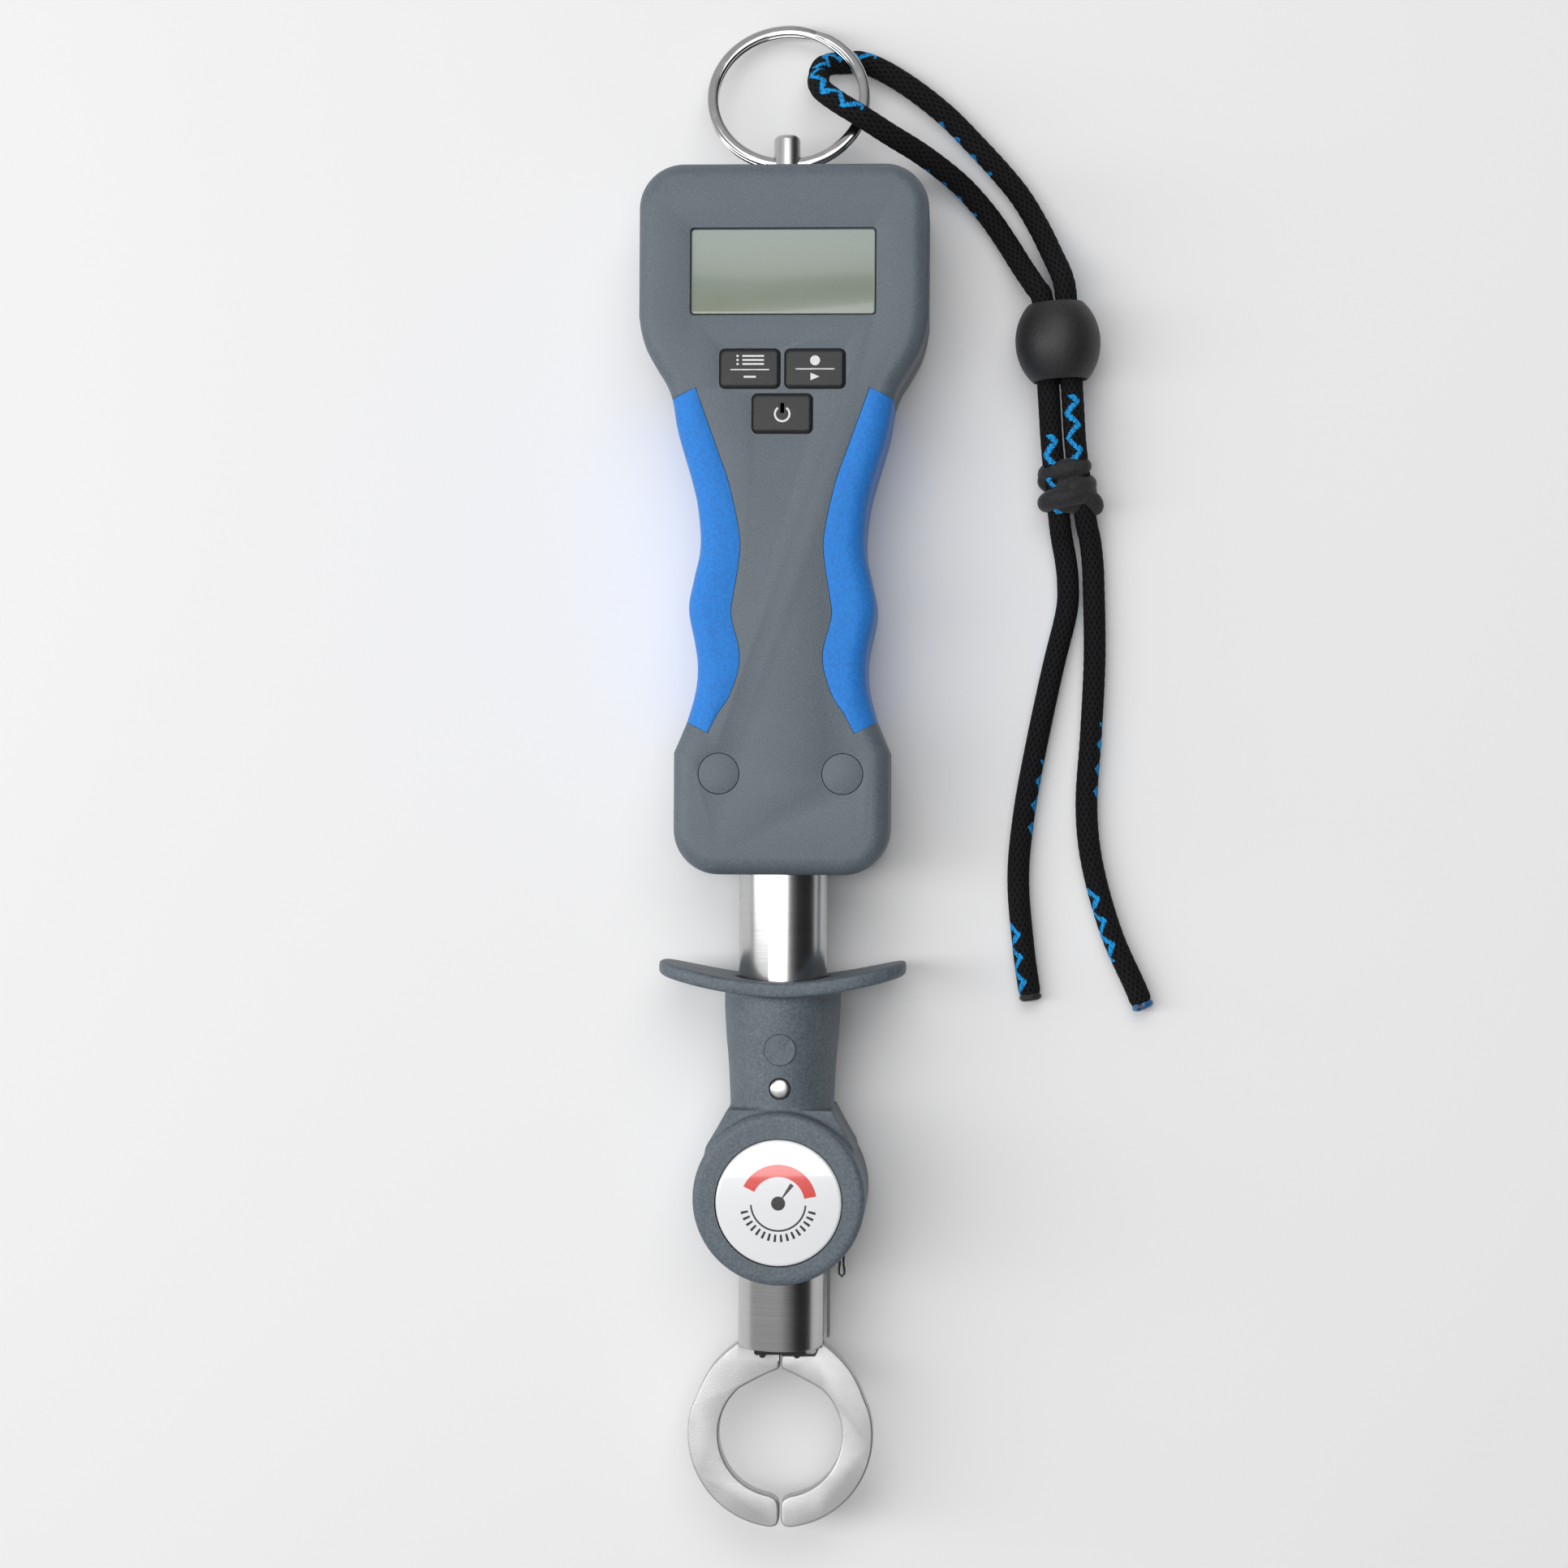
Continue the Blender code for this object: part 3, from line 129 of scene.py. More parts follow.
# Lanyard: the route of part.py
CORD_R = 2.4
LOOP = (
    (62.7, 72.2, 9.4), (62.0, 82.0, 9.4), (61.2, 94.0, 9.4), (60.4, 105.1, 9.4), (59.6, 110.0, 8.4),
    (57.4, 115.5, 5.6), (54.5, 121.8, 3.6), (50.7, 128.3, 2.8), (46.3, 133.8, 2.6), (40.3, 140.3, 2.6),
    (34.9, 145.8, 2.6), (29.4, 150.4, 2.6), (24.0, 154.2, 2.6), (19.2, 156.9, 2.6), (15.2, 158.3, 2.5),
    (12.0, 158.1, 2.5), (9.4, 157.8, 3.4), (7.3, 156.7, 5.4), (6.3, 154.0, 8.6), (7.0, 150.6, 12.2),
    (10.8, 147.1, 15.0), (16.0, 143.8, 15.5), (22.4, 140.2, 12.6), (28.1, 137.4, 8.6), (33.6, 134.0, 5.2),
    (38.6, 130.0, 3.2), (43.6, 124.3, 2.6), (47.6, 118.5, 2.8), (51.0, 112.7, 5.0), (53.6, 108.2, 8.4),
    (55.3, 104.8, 9.4), (56.1, 93.7, 9.4), (56.9, 81.7, 9.4), (57.6, 71.8, 9.4),
)
LOOP_MIDDLE = 18  # the route point inside the ring where the two cords are taken to meet
LEFT_TAIL = (
    (59.3, 57.6, 5.4), (59.9, 53.6, 3.6), (60.8, 49.0, 2.7), (61.3, 44.0, 2.7), (61.0, 37.6, 2.7),
    (58.1, 25.3, 2.7), (54.6, 8.5, 2.7), (52.0, -6.4, 2.7), (50.8, -20.6, 2.7), (52.0, -35.5, 2.7),
    (53.5, -46.1, 2.7),
)
RIGHT_TAIL = (
    (65.0, 57.8, 5.4), (66.0, 53.6, 3.6), (66.6, 49.0, 2.7), (66.9, 43.5, 2.7), (67.2, 27.9, 2.7),
    (66.5, 11.1, 2.7), (65.6, -4.4, 2.7), (66.9, -17.3, 2.7), (71.1, -32.2, 2.7), (76.3, -43.9, 2.7),
    (77.9, -47.8, 2.7),
)
BEAD_CENTRE, BEAD_R, BEAD_LENGTH, BEAD_BORE_R = Vector((58.65, 95.8, 9.4)), 9.2, 16.75, 5.6
BEAD_AXIS = Vector((0.0687, -0.9976, 0.0)).normalized()
KNOT_CENTRE = Vector((60.9, 64.9, 6.4))

# Camera
CAMERA_HEIGHT, CAMERA_SIDE, CAMERA_LENS, CAMERA_ROLL = 726.0, 37.0, 75.7, math.radians(0.3)


# ---- meshes ----

def metres(point):
    x, y, z = point
    return Vector((x, y - DATUM_Y, z)) * MM


def mesh_object(name, verts, faces, sharp=35.0):
    mesh = bpy.data.meshes.new(name)
    mesh.from_pydata([metres(p) for p in verts], [], faces)
    work = bmesh.new()
    work.from_mesh(mesh)
    bmesh.ops.recalc_face_normals(work, faces=work.faces)
    work.to_mesh(mesh)
    work.free()
    mesh.shade_smooth()
    mesh.set_sharp_from_angle(angle=math.radians(sharp))
    obj = bpy.data.objects.new(name, mesh)
    bpy.context.scene.collection.objects.link(obj)
    return obj


def solid(name, rings, closed=False, sharp=35.0):
    """A body through rings of equal length; the ends are capped unless the last ring meets the first."""
    count = len(rings[0])
    verts = [p for ring in rings for p in ring]
    spans = len(rings) if closed else len(rings) - 1
    faces = []
    for i in range(spans):
        a, b = i * count, (i + 1) % len(rings) * count
        faces += [(a + j, a + (j + 1) % count, b + (j + 1) % count, b + j) for j in range(count)]
    if not closed:
        faces.append(tuple(range(count)))
        faces.append(tuple(range(len(verts) - count, len(verts))))
    return mesh_object(name, verts, faces, sharp)


def settle(obj, sharp=35.0):
    """Applies the object's modifiers and shades it again."""
    graph = bpy.context.evaluated_depsgraph_get()
    graph.update()
    made = bpy.data.meshes.new_from_object(obj.evaluated_get(graph), depsgraph=graph)
    obj.modifiers.clear()
    obj.data = made
    made.shade_smooth()
    made.set_sharp_from_angle(angle=math.radians(sharp))
    return obj


def combine(target, others, operation="DIFFERENCE"):
    for other in others:
        modifier = target.modifiers.new(other.name, "BOOLEAN")
        modifier.operation = operation
        modifier.object = other
    settle(target)
    for other in others:
        bpy.data.objects.remove(other)
    return target


def cut(target, *others):
    return combine(target, others)


def join(target, *others):
    return combine(target, others, "UNION")


def fuse(target, parts, voxel, rounds):
    """Makes overlapping bodies one moulding, with small fillets where they meet."""
    with bpy.context.temp_override(active_object=target, selected_editable_objects=[target, *parts]):
        bpy.ops.object.join()
    remesh = target.modifiers.new("fuse", "REMESH")
    remesh.mode = "VOXEL"
    remesh.voxel_size = voxel * MM
    smooth = target.modifiers.new("fillet", "SMOOTH")
    smooth.factor, smooth.iterations = 0.5, rounds
    return settle(target)


def soften(obj, width, segments=3, angle=38.0, sharp=45.0):
    """Rounds the edges sharper than angle."""
    modifier = obj.modifiers.new("round", "BEVEL")
    modifier.width = width * MM
    modifier.segments = segments
    modifier.limit_method = "ANGLE"
    modifier.angle_limit = math.radians(angle)
    modifier.use_clamp_overlap = True
    return settle(obj, sharp)


def place(axis, centre, u, v, w):
    """A point at (u, v) across the axis and w along it."""
    x, y, z = centre
    if axis == "Z":
        return (x + u, y + v, z + w)
    if axis == "Y":
        return (x + u, y + w, z + v)
    return (x + w, y + u, z + v)


def turned(name, axis, centre, profile, steps=64, closed=False, sharp=35.0):
    """A turned body: profile holds (radius, distance along the axis)."""
    angles = [TURN * i / steps for i in range(steps)]
    rings = [
        [place(axis, centre, r * math.cos(a), r * math.sin(a), along) for a in angles]
        for r, along in profile
    ]
    return solid(name, rings, closed, sharp)


def rod(name, axis, centre, radius, low, high, steps=64):
    return turned(name, axis, centre, ((radius, low), (radius, high)), steps)


def prism(name, outline, low, high):
    return solid(name, [[(x, y, z) for x, y in outline] for z in (low, high)])


def box(name, low, high):
    corners = [(low[0], low[1]), (high[0], low[1]), (high[0], high[1]), (low[0], high[1])]
    return prism(name, corners, low[2], high[2])


def arc(centre, radius, start, stop, steps):
    """Points on an arc in degrees, both ends included."""
    angles = [math.radians(start + (stop - start) * i / steps) for i in range(steps + 1)]
    return [(centre[0] + radius * math.cos(a), centre[1] + radius * math.sin(a)) for a in angles]


def rounded_rectangle(size, corner, centre=(0, 0), steps=10):
    half_x, half_y = size[0] / 2 - corner, size[1] / 2 - corner
    points = []
    for quarter, (sx, sy) in enumerate(((1, 1), (-1, 1), (-1, -1), (1, -1))):
        middle = (centre[0] + sx * half_x, centre[1] + sy * half_y)
        points += arc(middle, corner, 90 * quarter, 90 * quarter + 90, steps)
    return points


def smooth_through(stations):
    """A cubic through (y, value) stations."""
    def slope(i):
        before, after = stations[max(i - 1, 0)], stations[min(i + 1, len(stations) - 1)]
        return (after[1] - before[1]) / (after[0] - before[0])

    def value(y):
        y = min(max(y, stations[0][0]), stations[-1][0])
        i = max(k for k in range(len(stations) - 1) if stations[k][0] <= y)
        (y0, v0), (y1, v1) = stations[i], stations[i + 1]
        h = y1 - y0
        t = (y - y0) / h
        return (
            v0 * (1 + 2 * t) * (1 - t) ** 2 + v1 * t * t * (3 - 2 * t)
            + h * (slope(i) * t * (1 - t) ** 2 - slope(i + 1) * t * t * (1 - t))
        )

    return value


side_width = smooth_through(SIDE_STATIONS)
grip_edge = smooth_through(GRIP_STATIONS)


def inset(outline, distance):
    """The closed outline moved inwards; it runs anticlockwise."""
    moved = []
    for i, point in enumerate(outline):
        here, before = Vector(point), Vector(outline[i - 1])
        after = Vector(outline[(i + 1) % len(outline)])
        a, b = (here - before).normalized(), (after - here).normalized()
        normal = (Vector((-a.y, a.x)) + Vector((-b.y, b.x))).normalized()
        stretch = max(normal.dot(Vector((-a.y, a.x))), 0.5)
        moved.append(tuple(here + normal * distance / stretch))
    return moved


def smooth_route(points, spacing):
    """Points about this far apart on a smooth curve through the route's own points."""
    ends = [Vector(points[0]) * 2 - Vector(points[1]), Vector(points[-1]) * 2 - Vector(points[-2])]
    route = [ends[0]] + [Vector(p) for p in points] + [ends[1]]
    fine = []
    for p0, p1, p2, p3 in zip(route, route[1:], route[2:], route[3:]):
        for i in range(12):
            t = i / 12
            fine.append(0.5 * (2 * p1 + (p2 - p0) * t + (2 * p0 - 5 * p1 + 4 * p2 - p3) * t * t
                               + (3 * p1 - p0 - 3 * p2 + p3) * t ** 3))
    fine.append(route[-2])
    lengths = [0.0]
    for a, b in zip(fine, fine[1:]):
        lengths.append(lengths[-1] + (b - a).length)
    count = max(2, round(lengths[-1] / spacing))
    picked = []
    for k in range(count + 1):
        want = lengths[-1] * k / count
        i = max(j for j in range(len(fine) - 1) if lengths[j] <= want)
        picked.append(fine[i].lerp(fine[i + 1], (want - lengths[i]) / (lengths[i + 1] - lengths[i])))
    return picked


def frames_along(path):
    """Two directions across the path at each point, carried along without twisting."""
    across = None
    made = []
    for i, point in enumerate(path):
        along = (path[min(i + 1, len(path) - 1)] - path[max(i - 1, 0)]).normalized()
        if across is None:
            across = along.orthogonal().normalized()
            across = (Vector((0, 0, 1)) - along * along.z).normalized() if abs(along.z) < 0.9 else across
        across = (across - along * across.dot(along)).normalized()
        made.append((across, along.cross(across)))
    return made


def tube_mesh(name, path, radii, steps=24, sharp=50.0):
    """A capped tube along a path, with one radius for each point, and UV running round and along it."""
    rings = []
    for point, (u, v), r in zip(path, frames_along(path), radii):
        rings.append([tuple(point + u * (r * math.cos(a)) + v * (r * math.sin(a)))
                      for a in (TURN * i / steps for i in range(steps))])
    obj = solid(name, rings, sharp=sharp)
    travelled = [0.0]
    for a, b in zip(path, path[1:]):
        travelled.append(travelled[-1] + (b - a).length)
    layer = obj.data.uv_layers.new(name="UVMap")
    for polygon in obj.data.polygons:
        columns = [obj.data.loops[loop].vertex_index % steps for loop in polygon.loop_indices]
        wraps = max(columns) - min(columns) > 1
        for loop, column in zip(polygon.loop_indices, columns):
            row = obj.data.loops[loop].vertex_index // steps
            turn = column + steps if wraps and column == 0 else column
            layer.data[loop].uv = (turn / steps, travelled[row] * MM)
    return obj


# ---- materials ----

class Look:
    """A material being made: its shader, and short calls that add nodes to it."""

    def __init__(self, name, colour, roughness, metallic=0.0, **sockets):
        self.material = bpy.data.materials.new(name)
        self.material.use_nodes = True
        self.material.diffuse_color = (*colour, 1.0)
        self.tree = self.material.node_tree
        self.shader = self.tree.nodes["Principled BSDF"]
        values = {"Base Color": (*colour, 1.0), "Roughness": roughness, "Metallic": metallic}
        self.fill(self.shader, {**values, **sockets})

    def fill(self, node, inputs):
        for key, value in inputs.items():
            if isinstance(value, bpy.types.NodeSocket):
                self.tree.links.new(value, node.inputs[key])
            else:
                node.inputs[key].default_value = value

    def add(self, kind, inputs, output=0, **settings):
        node = self.tree.nodes.new("ShaderNode" + kind)
        for key, value in settings.items():
            setattr(node, key, value)
        self.fill(node, inputs)
        return node.outputs[output]

    def calc(self, operation, *values):
        return self.add("Math", dict(enumerate(values)), operation=operation)

    def noise(self, scale, detail=2.0, stretch=(1.0, 1.0, 1.0)):
        place = self.add("TexCoord", {}, "Object")
        place = self.add("Mapping", {"Vector": place, "Scale": stretch})
        return self.add("TexNoise", {"Vector": place, "Scale": scale, "Detail": detail}, "Fac")

    def between(self, value, low, high):
        """0 below low and 1 above high, smooth between."""
        inputs = {"Value": value, "From Min": low, "From Max": high}
        return self.add("MapRange", inputs, interpolation_type="SMOOTHSTEP")

    def blend(self, factor, a, b):
        """Colour a where the factor is 0 and b where it is 1."""
        a, b = [(*c, 1.0) if isinstance(c, tuple) else c for c in (a, b)]
        return self.add("Mix", {0: factor, 6: a, 7: b}, 2, data_type="RGBA")

    def spread(self, factor, low, high):
        """A value that goes from low to high with the factor."""
        return self.add("MapRange", {"Value": factor, "To Min": low, "To Max": high})

    def colour(self, socket):
        self.fill(self.shader, {"Base Color": socket})

    def roughness(self, socket):
        self.fill(self.shader, {"Roughness": socket})

    def relief(self, height, depth, strength=1.0):
        inputs = {"Height": height, "Distance": depth * MM, "Strength": strength}
        self.fill(self.shader, {"Normal": self.add("Bump", inputs)})


def moulded_plastic(name, colour, light, dark, grain=2100.0):
    """Spark-textured plastic: a fine grain, faint mottling and pale specks of painted glint, which stand for
    the sparkle of light on the texture.
    """
    look = Look(name, colour, 0.5)
    fine = look.noise(grain, 3.0)
    mottle = look.noise(160.0, 3.0)
    # Painted glints: pale specks in the colour where the textured surface would sparkle in the light.
    painted_glints = look.between(look.noise(2600.0, 1.0), 0.63, 0.74)
    base = look.blend(look.between(fine, 0.3, 0.7), dark, colour)
    base = look.blend(look.calc("MULTIPLY", painted_glints, 0.42), base, light)
    base = look.blend(look.calc("MULTIPLY", look.between(mottle, 0.4, 0.75), 0.05), base, light)
    look.colour(base)
    look.roughness(look.spread(fine, 0.42, 0.62))
    look.relief(fine, 0.07)
    return look.material


def soft_rubber(name, colour, shade, grain=1700.0, rough=(0.6, 0.8)):
    look = Look(name, colour, rough[1], **{"Sheen Weight": 0.12, "Sheen Roughness": 0.5})
    fine = look.noise(grain, 2.0)
    look.colour(look.blend(look.between(fine, 0.3, 0.68), shade, colour))
    look.roughness(look.spread(fine, *rough))
    look.relief(fine, 0.05)
    return look.material


def brushed_metal(name, tone, rough, stretch, depth=0.012, contrast=0.12):
    """Metal with fine lines that run across the stretched direction."""
    look = Look(name, (tone, tone, tone * 1.01), rough, 1.0)
    lines = look.noise(1.0, 4.0, stretch)
    darker = tuple(tone * (1 - contrast) for _ in range(3))
    look.colour(look.blend(look.between(lines, 0.3, 0.7), darker, (tone, tone, tone)))
    look.roughness(look.spread(lines, rough * 0.8, rough * 1.25))
    look.relief(lines, depth)
    return look.material


def blasted_metal(name, tone, rough):
    """Matt blasted metal with soft cloudy patches."""
    look = Look(name, (tone, tone, tone), rough, 1.0)
    grain = look.noise(3200.0, 2.0)
    cloud = look.noise(120.0, 4.0)
    low = tuple(tone * 0.86 for _ in range(3))
    base = look.blend(look.between(cloud, 0.35, 0.7), low, (tone, tone, tone))
    look.colour(look.blend(look.calc("MULTIPLY", look.between(grain, 0.35, 0.7), 0.35), base, low))
    look.roughness(look.spread(grain, rough * 0.85, rough * 1.15))
    look.relief(grain, 0.03)
    return look.material


def polished_metal(name, tone, rough):
    look = Look(name, (tone, tone, tone), rough, 1.0)
    haze = look.noise(420.0, 4.0)
    look.colour(look.blend(haze, (tone * 0.9, tone * 0.9, tone * 0.9), (tone, tone, tone)))
    look.roughness(look.spread(look.between(haze, 0.35, 0.75), rough * 0.6, rough * 1.8))
    look.relief(look.noise(900.0, 2.0), 0.004)
    return look.material


def display_glass():
    """A blank liquid-crystal display under its clear window."""
    look = Look("display", (0.24, 0.28, 0.235), 0.16, **{"Coat Weight": 0.25, "Coat Roughness": 0.06})
    place = look.add("TexCoord", {}, "Object")
    height = look.add("SeparateXYZ", {"Vector": place}, "Y")
    low, high = (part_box("lcd_window")[i].y for i in (0, 1))
    # Painted light: the display's colour is lighter towards its top and darker towards its bottom, as the
    # light falls on it.
    rise = look.between(height, low, high)
    cloud = look.between(look.noise(45.0, 2.0), 0.35, 0.65)
    tone = look.blend(rise, (0.205, 0.235, 0.175), (0.265, 0.31, 0.28))
    tone = look.blend(look.calc("MULTIPLY", cloud, 0.3), tone, (0.235, 0.285, 0.25))
    cells = look.noise(5200.0, 1.0)
    grid = look.calc("MULTIPLY", look.between(cells, 0.4, 0.7), 0.12)
    look.colour(look.blend(grid, tone, (0.16, 0.19, 0.15)))
    look.roughness(look.spread(cells, 0.13, 0.2))
    return look.material


def badge_face():
    """A white domed badge with a gauge pictogram: a red sweep, dark marks and a pointer."""
    look = Look("badge", (0.82, 0.83, 0.84), 0.22, **{"Coat Weight": 1.0, "Coat Roughness": 0.05})
    place = look.add("TexCoord", {}, "Object")
    low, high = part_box("slider_badge")
    centre = (low + high) / 2
    place = look.add("VectorMath", {0: place, 1: centre}, operation="SUBTRACT")
    parts = look.tree.nodes.new("ShaderNodeSeparateXYZ")
    look.fill(parts, {"Vector": place})
    x, y = parts.outputs["X"], parts.outputs["Y"]
    reach = look.calc("SQRT", look.calc("ADD", look.calc("MULTIPLY", x, x), look.calc("MULTIPLY", y, y)))
    turn = look.calc("DIVIDE", look.calc("ARCTAN2", y, x), TURN)

    def band(value, low, high, edge):
        rising = look.between(value, low - edge, low + edge)
        falling = look.between(value, high - edge, high + edge)
        return look.calc("MULTIPLY", rising, look.calc("SUBTRACT", 1.0, falling))

    line, swing = 0.08 * MM, 0.002
    sweep = look.calc("MULTIPLY", band(reach, 5.6 * MM, 8.2 * MM, line), band(turn, 0.03, 0.43, swing))
    comb = look.calc("FRACT", look.calc("MULTIPLY", look.calc("ADD", turn, 1.0), 36.0))
    marks = look.calc("MULTIPLY", band(comb, 0.3, 0.7, 0.03), band(reach, 6.6 * MM, 8.2 * MM, line))
    marks = look.calc("MULTIPLY", marks, band(turn, -0.47, -0.03, swing))
    rim = look.calc("MULTIPLY", band(reach, 5.6 * MM, 6.0 * MM, line), band(turn, -0.49, -0.01, swing))
    hub = look.calc("SUBTRACT", 1.0, look.between(reach, 1.4 * MM, 1.6 * MM))
    pointer = look.calc("MULTIPLY", band(turn, 0.135, 0.165, swing), look.calc("LESS_THAN", reach, 5.0 * MM))
    dark = look.calc("MAXIMUM", look.calc("MAXIMUM", marks, rim), look.calc("MAXIMUM", hub, pointer))
    white = look.blend(look.noise(30.0, 2.0), (0.8, 0.815, 0.84), (0.84, 0.845, 0.85))
    base = look.blend(sweep, white, (0.72, 0.035, 0.025))
    look.colour(look.blend(dark, base, (0.022, 0.02, 0.022)))
    return look.material


def braided_cord():
    """Black braided sleeve with patches of blue woven zigzag, drawn in the tube's own UV."""
    look = Look("braided_cord", (0.006, 0.006, 0.007), 0.9, **{"Specular IOR Level": 0.15})
    place = look.add("TexCoord", {}, "UV")
    parts = look.tree.nodes.new("ShaderNodeSeparateXYZ")
    look.fill(parts, {"Vector": place})
    around, along = parts.outputs["X"], parts.outputs["Y"]
    strands, pitch = 12.0, 2.2 * MM
    turns = look.calc("MULTIPLY", around, strands * TURN)
    climb = look.calc("MULTIPLY", along, TURN / pitch)
    left = look.calc("SINE", look.calc("ADD", turns, climb))
    right = look.calc("SINE", look.calc("SUBTRACT", turns, climb))
    weave = look.between(look.calc("MAXIMUM", left, right), -0.6, 1.0)
    stitch, repeat, patch = 0.45 * MM, 36.0 * MM, 0.46
    column = look.calc("DIVIDE", look.calc("FLOOR", look.calc("MULTIPLY", around, 36.0)), 36.0)
    row = look.calc("MULTIPLY", look.calc("FLOOR", look.calc("DIVIDE", along, stitch)), stitch)
    step = look.calc("DIVIDE", row, repeat)
    phase = look.calc("FRACT", step)
    inside = look.calc("LESS_THAN", phase, patch)
    drift = look.calc("MULTIPLY", look.calc("FLOOR", step), 0.37)
    side = look.calc("FRACT", look.calc("ADD", look.calc("SUBTRACT", column, drift), 10.5))
    zigzag = look.calc("PINGPONG", look.calc("DIVIDE", row, 5.2 * MM), 0.5)
    centre = look.calc("ADD", look.calc("MULTIPLY", zigzag, 0.36), 0.41)
    away = look.calc("ABSOLUTE", look.calc("SUBTRACT", side, centre))
    near = look.calc("LESS_THAN", away, 0.05)
    # Painted shade: the blue is dimmed in the gaps between strands, and the black below is darker in the
    # gaps and lighter on the strands' crowns.
    blue = look.calc("MULTIPLY", look.calc("MULTIPLY", near, inside), look.spread(weave, 0.55, 1.0))
    black = look.blend(weave, (0.002, 0.002, 0.003), (0.012, 0.012, 0.013))
    look.colour(look.blend(blue, black, (0.015, 0.33, 0.78)))
    look.relief(weave, 0.1)
    return look.material


def circuit_green():
    look = Look("circuit_board", (0.015, 0.12, 0.05), 0.4)
    traces = look.between(look.noise(900.0, 0.0, (1.0, 0.15, 1.0)), 0.5, 0.53)
    look.colour(look.blend(traces, (0.012, 0.09, 0.035), (0.03, 0.2, 0.08)))
    look.relief(traces, 0.04)
    return look.material


def cell_wrap():
    look = Look("cell_wrap", (0.05, 0.055, 0.06), 0.3, 0.2)
    # Painted shade and sheen: streaks along the cell, lighter and darker in colour, stand for light on the
    # wrap's wrinkles.
    wrinkle_shade_mask = look.noise(300.0, 3.0, (1.0, 0.2, 1.0))
    look.colour(look.blend(wrinkle_shade_mask, (0.03, 0.032, 0.036), (0.075, 0.08, 0.085)))
    look.roughness(look.spread(wrinkle_shade_mask, 0.22, 0.42))
    return look.material


GREY, GREY_LIGHT, GREY_DARK = (0.118, 0.146, 0.172), (0.2, 0.235, 0.27), (0.09, 0.113, 0.135)
housing_plastic = moulded_plastic("housing_plastic", GREY, GREY_LIGHT, GREY_DARK)
slider_plastic = moulded_plastic("slider_plastic", GREY, (0.26, 0.3, 0.34), (0.078, 0.1, 0.12), 1500.0)
BLACK, BLACK_LIGHT, BLACK_DARK = (0.02, 0.02, 0.021), (0.05, 0.05, 0.052), (0.012, 0.012, 0.013)
bead_plastic = moulded_plastic("bead_plastic", BLACK, BLACK_LIGHT, BLACK_DARK)
blue_rubber = soft_rubber("blue_rubber", (0.012, 0.225, 0.72), (0.008, 0.17, 0.58))
black_rubber = soft_rubber("black_rubber", (0.016, 0.016, 0.017), (0.009, 0.009, 0.01))
key_rubber = soft_rubber("key_rubber", (0.012, 0.013, 0.015), (0.007, 0.007, 0.008), 2400.0, (0.38, 0.55))
print_white = soft_rubber("print_white", (0.8, 0.8, 0.8), (0.7, 0.7, 0.7), 3000.0, (0.45, 0.6))
tube_steel = brushed_metal("tube_steel", 0.56, 0.24, (18.0, 5200.0, 18.0), 0.0012, 0.1)
pin_steel = brushed_metal("pin_steel", 0.66, 0.34, (1500.0, 60.0, 60.0), 0.008)
ring_steel = polished_metal("ring_steel", 0.7, 0.1)
jaw_steel = blasted_metal("jaw_steel", 0.6, 0.5)
cast_aluminium = blasted_metal("cast_aluminium", 0.78, 0.5)
dark_steel = brushed_metal("dark_steel", 0.2, 0.45, (60.0, 1800.0, 60.0))
lcd_surface = display_glass()
badge_gloss = badge_face()
cord_braid = braided_cord()
melted_tip = soft_rubber("melted_tip", (0.02, 0.17, 0.42), (0.01, 0.012, 0.015), 900.0, (0.3, 0.5))
board_green = circuit_green()
wrapped_cell = cell_wrap()


def present(obj, look, body, slot, *nodes):
    """Gives the piece its material and body, and hides the CAD nodes that it stands for; slot is not used.
    """
    obj.data.materials.clear()
    obj.data.materials.append(look)
    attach(obj, body)
    if nodes:
        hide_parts(*nodes)
    return obj


# ---- housing ----

def housing_outline(side_steps=104, corner_steps=14):
    base_x, head_x = BASE_HALF_WIDTH - BASE_CORNER, HEAD_HALF_WIDTH - HEAD_CORNER
    right = arc((base_x, HOUSING_BASE + BASE_CORNER), BASE_CORNER, -90, 0, corner_steps)
    span = SIDE_END - SIDE_START
    heights = [SIDE_START + span * i / side_steps for i in range(side_steps + 1)]
    right += [(side_width(y), y) for y in heights]
    right += arc((head_x, HOUSING_TOP - HEAD_CORNER), HEAD_CORNER, 0, 90, corner_steps)
    return right + [(-x, y) for x, y in reversed(right)]


OUTLINE = housing_outline()


def shell(name, face, inward, skin, steps=9):
    """Rings from the inner face down to the parting and up the outside to the outer face."""
    parting = AXIS_Z - inward * PARTING_HALF_GAP
    levels = [(face + inward * skin, WALL + 1.0), (face + inward * (skin + 1.0), WALL)]
    levels += [(parting, WALL), (parting, 0.25), (parting - inward * 0.25, 0)]
    for i in range(steps + 1):
        a = math.pi / 2 * i / steps
        levels.append((face + inward * EDGE_RADIUS * (1 - math.sin(a)), EDGE_RADIUS * (1 - math.cos(a))))
    return solid(name, [[(x, y, z) for x, y in inset(OUTLINE, offset)] for z, offset in levels])


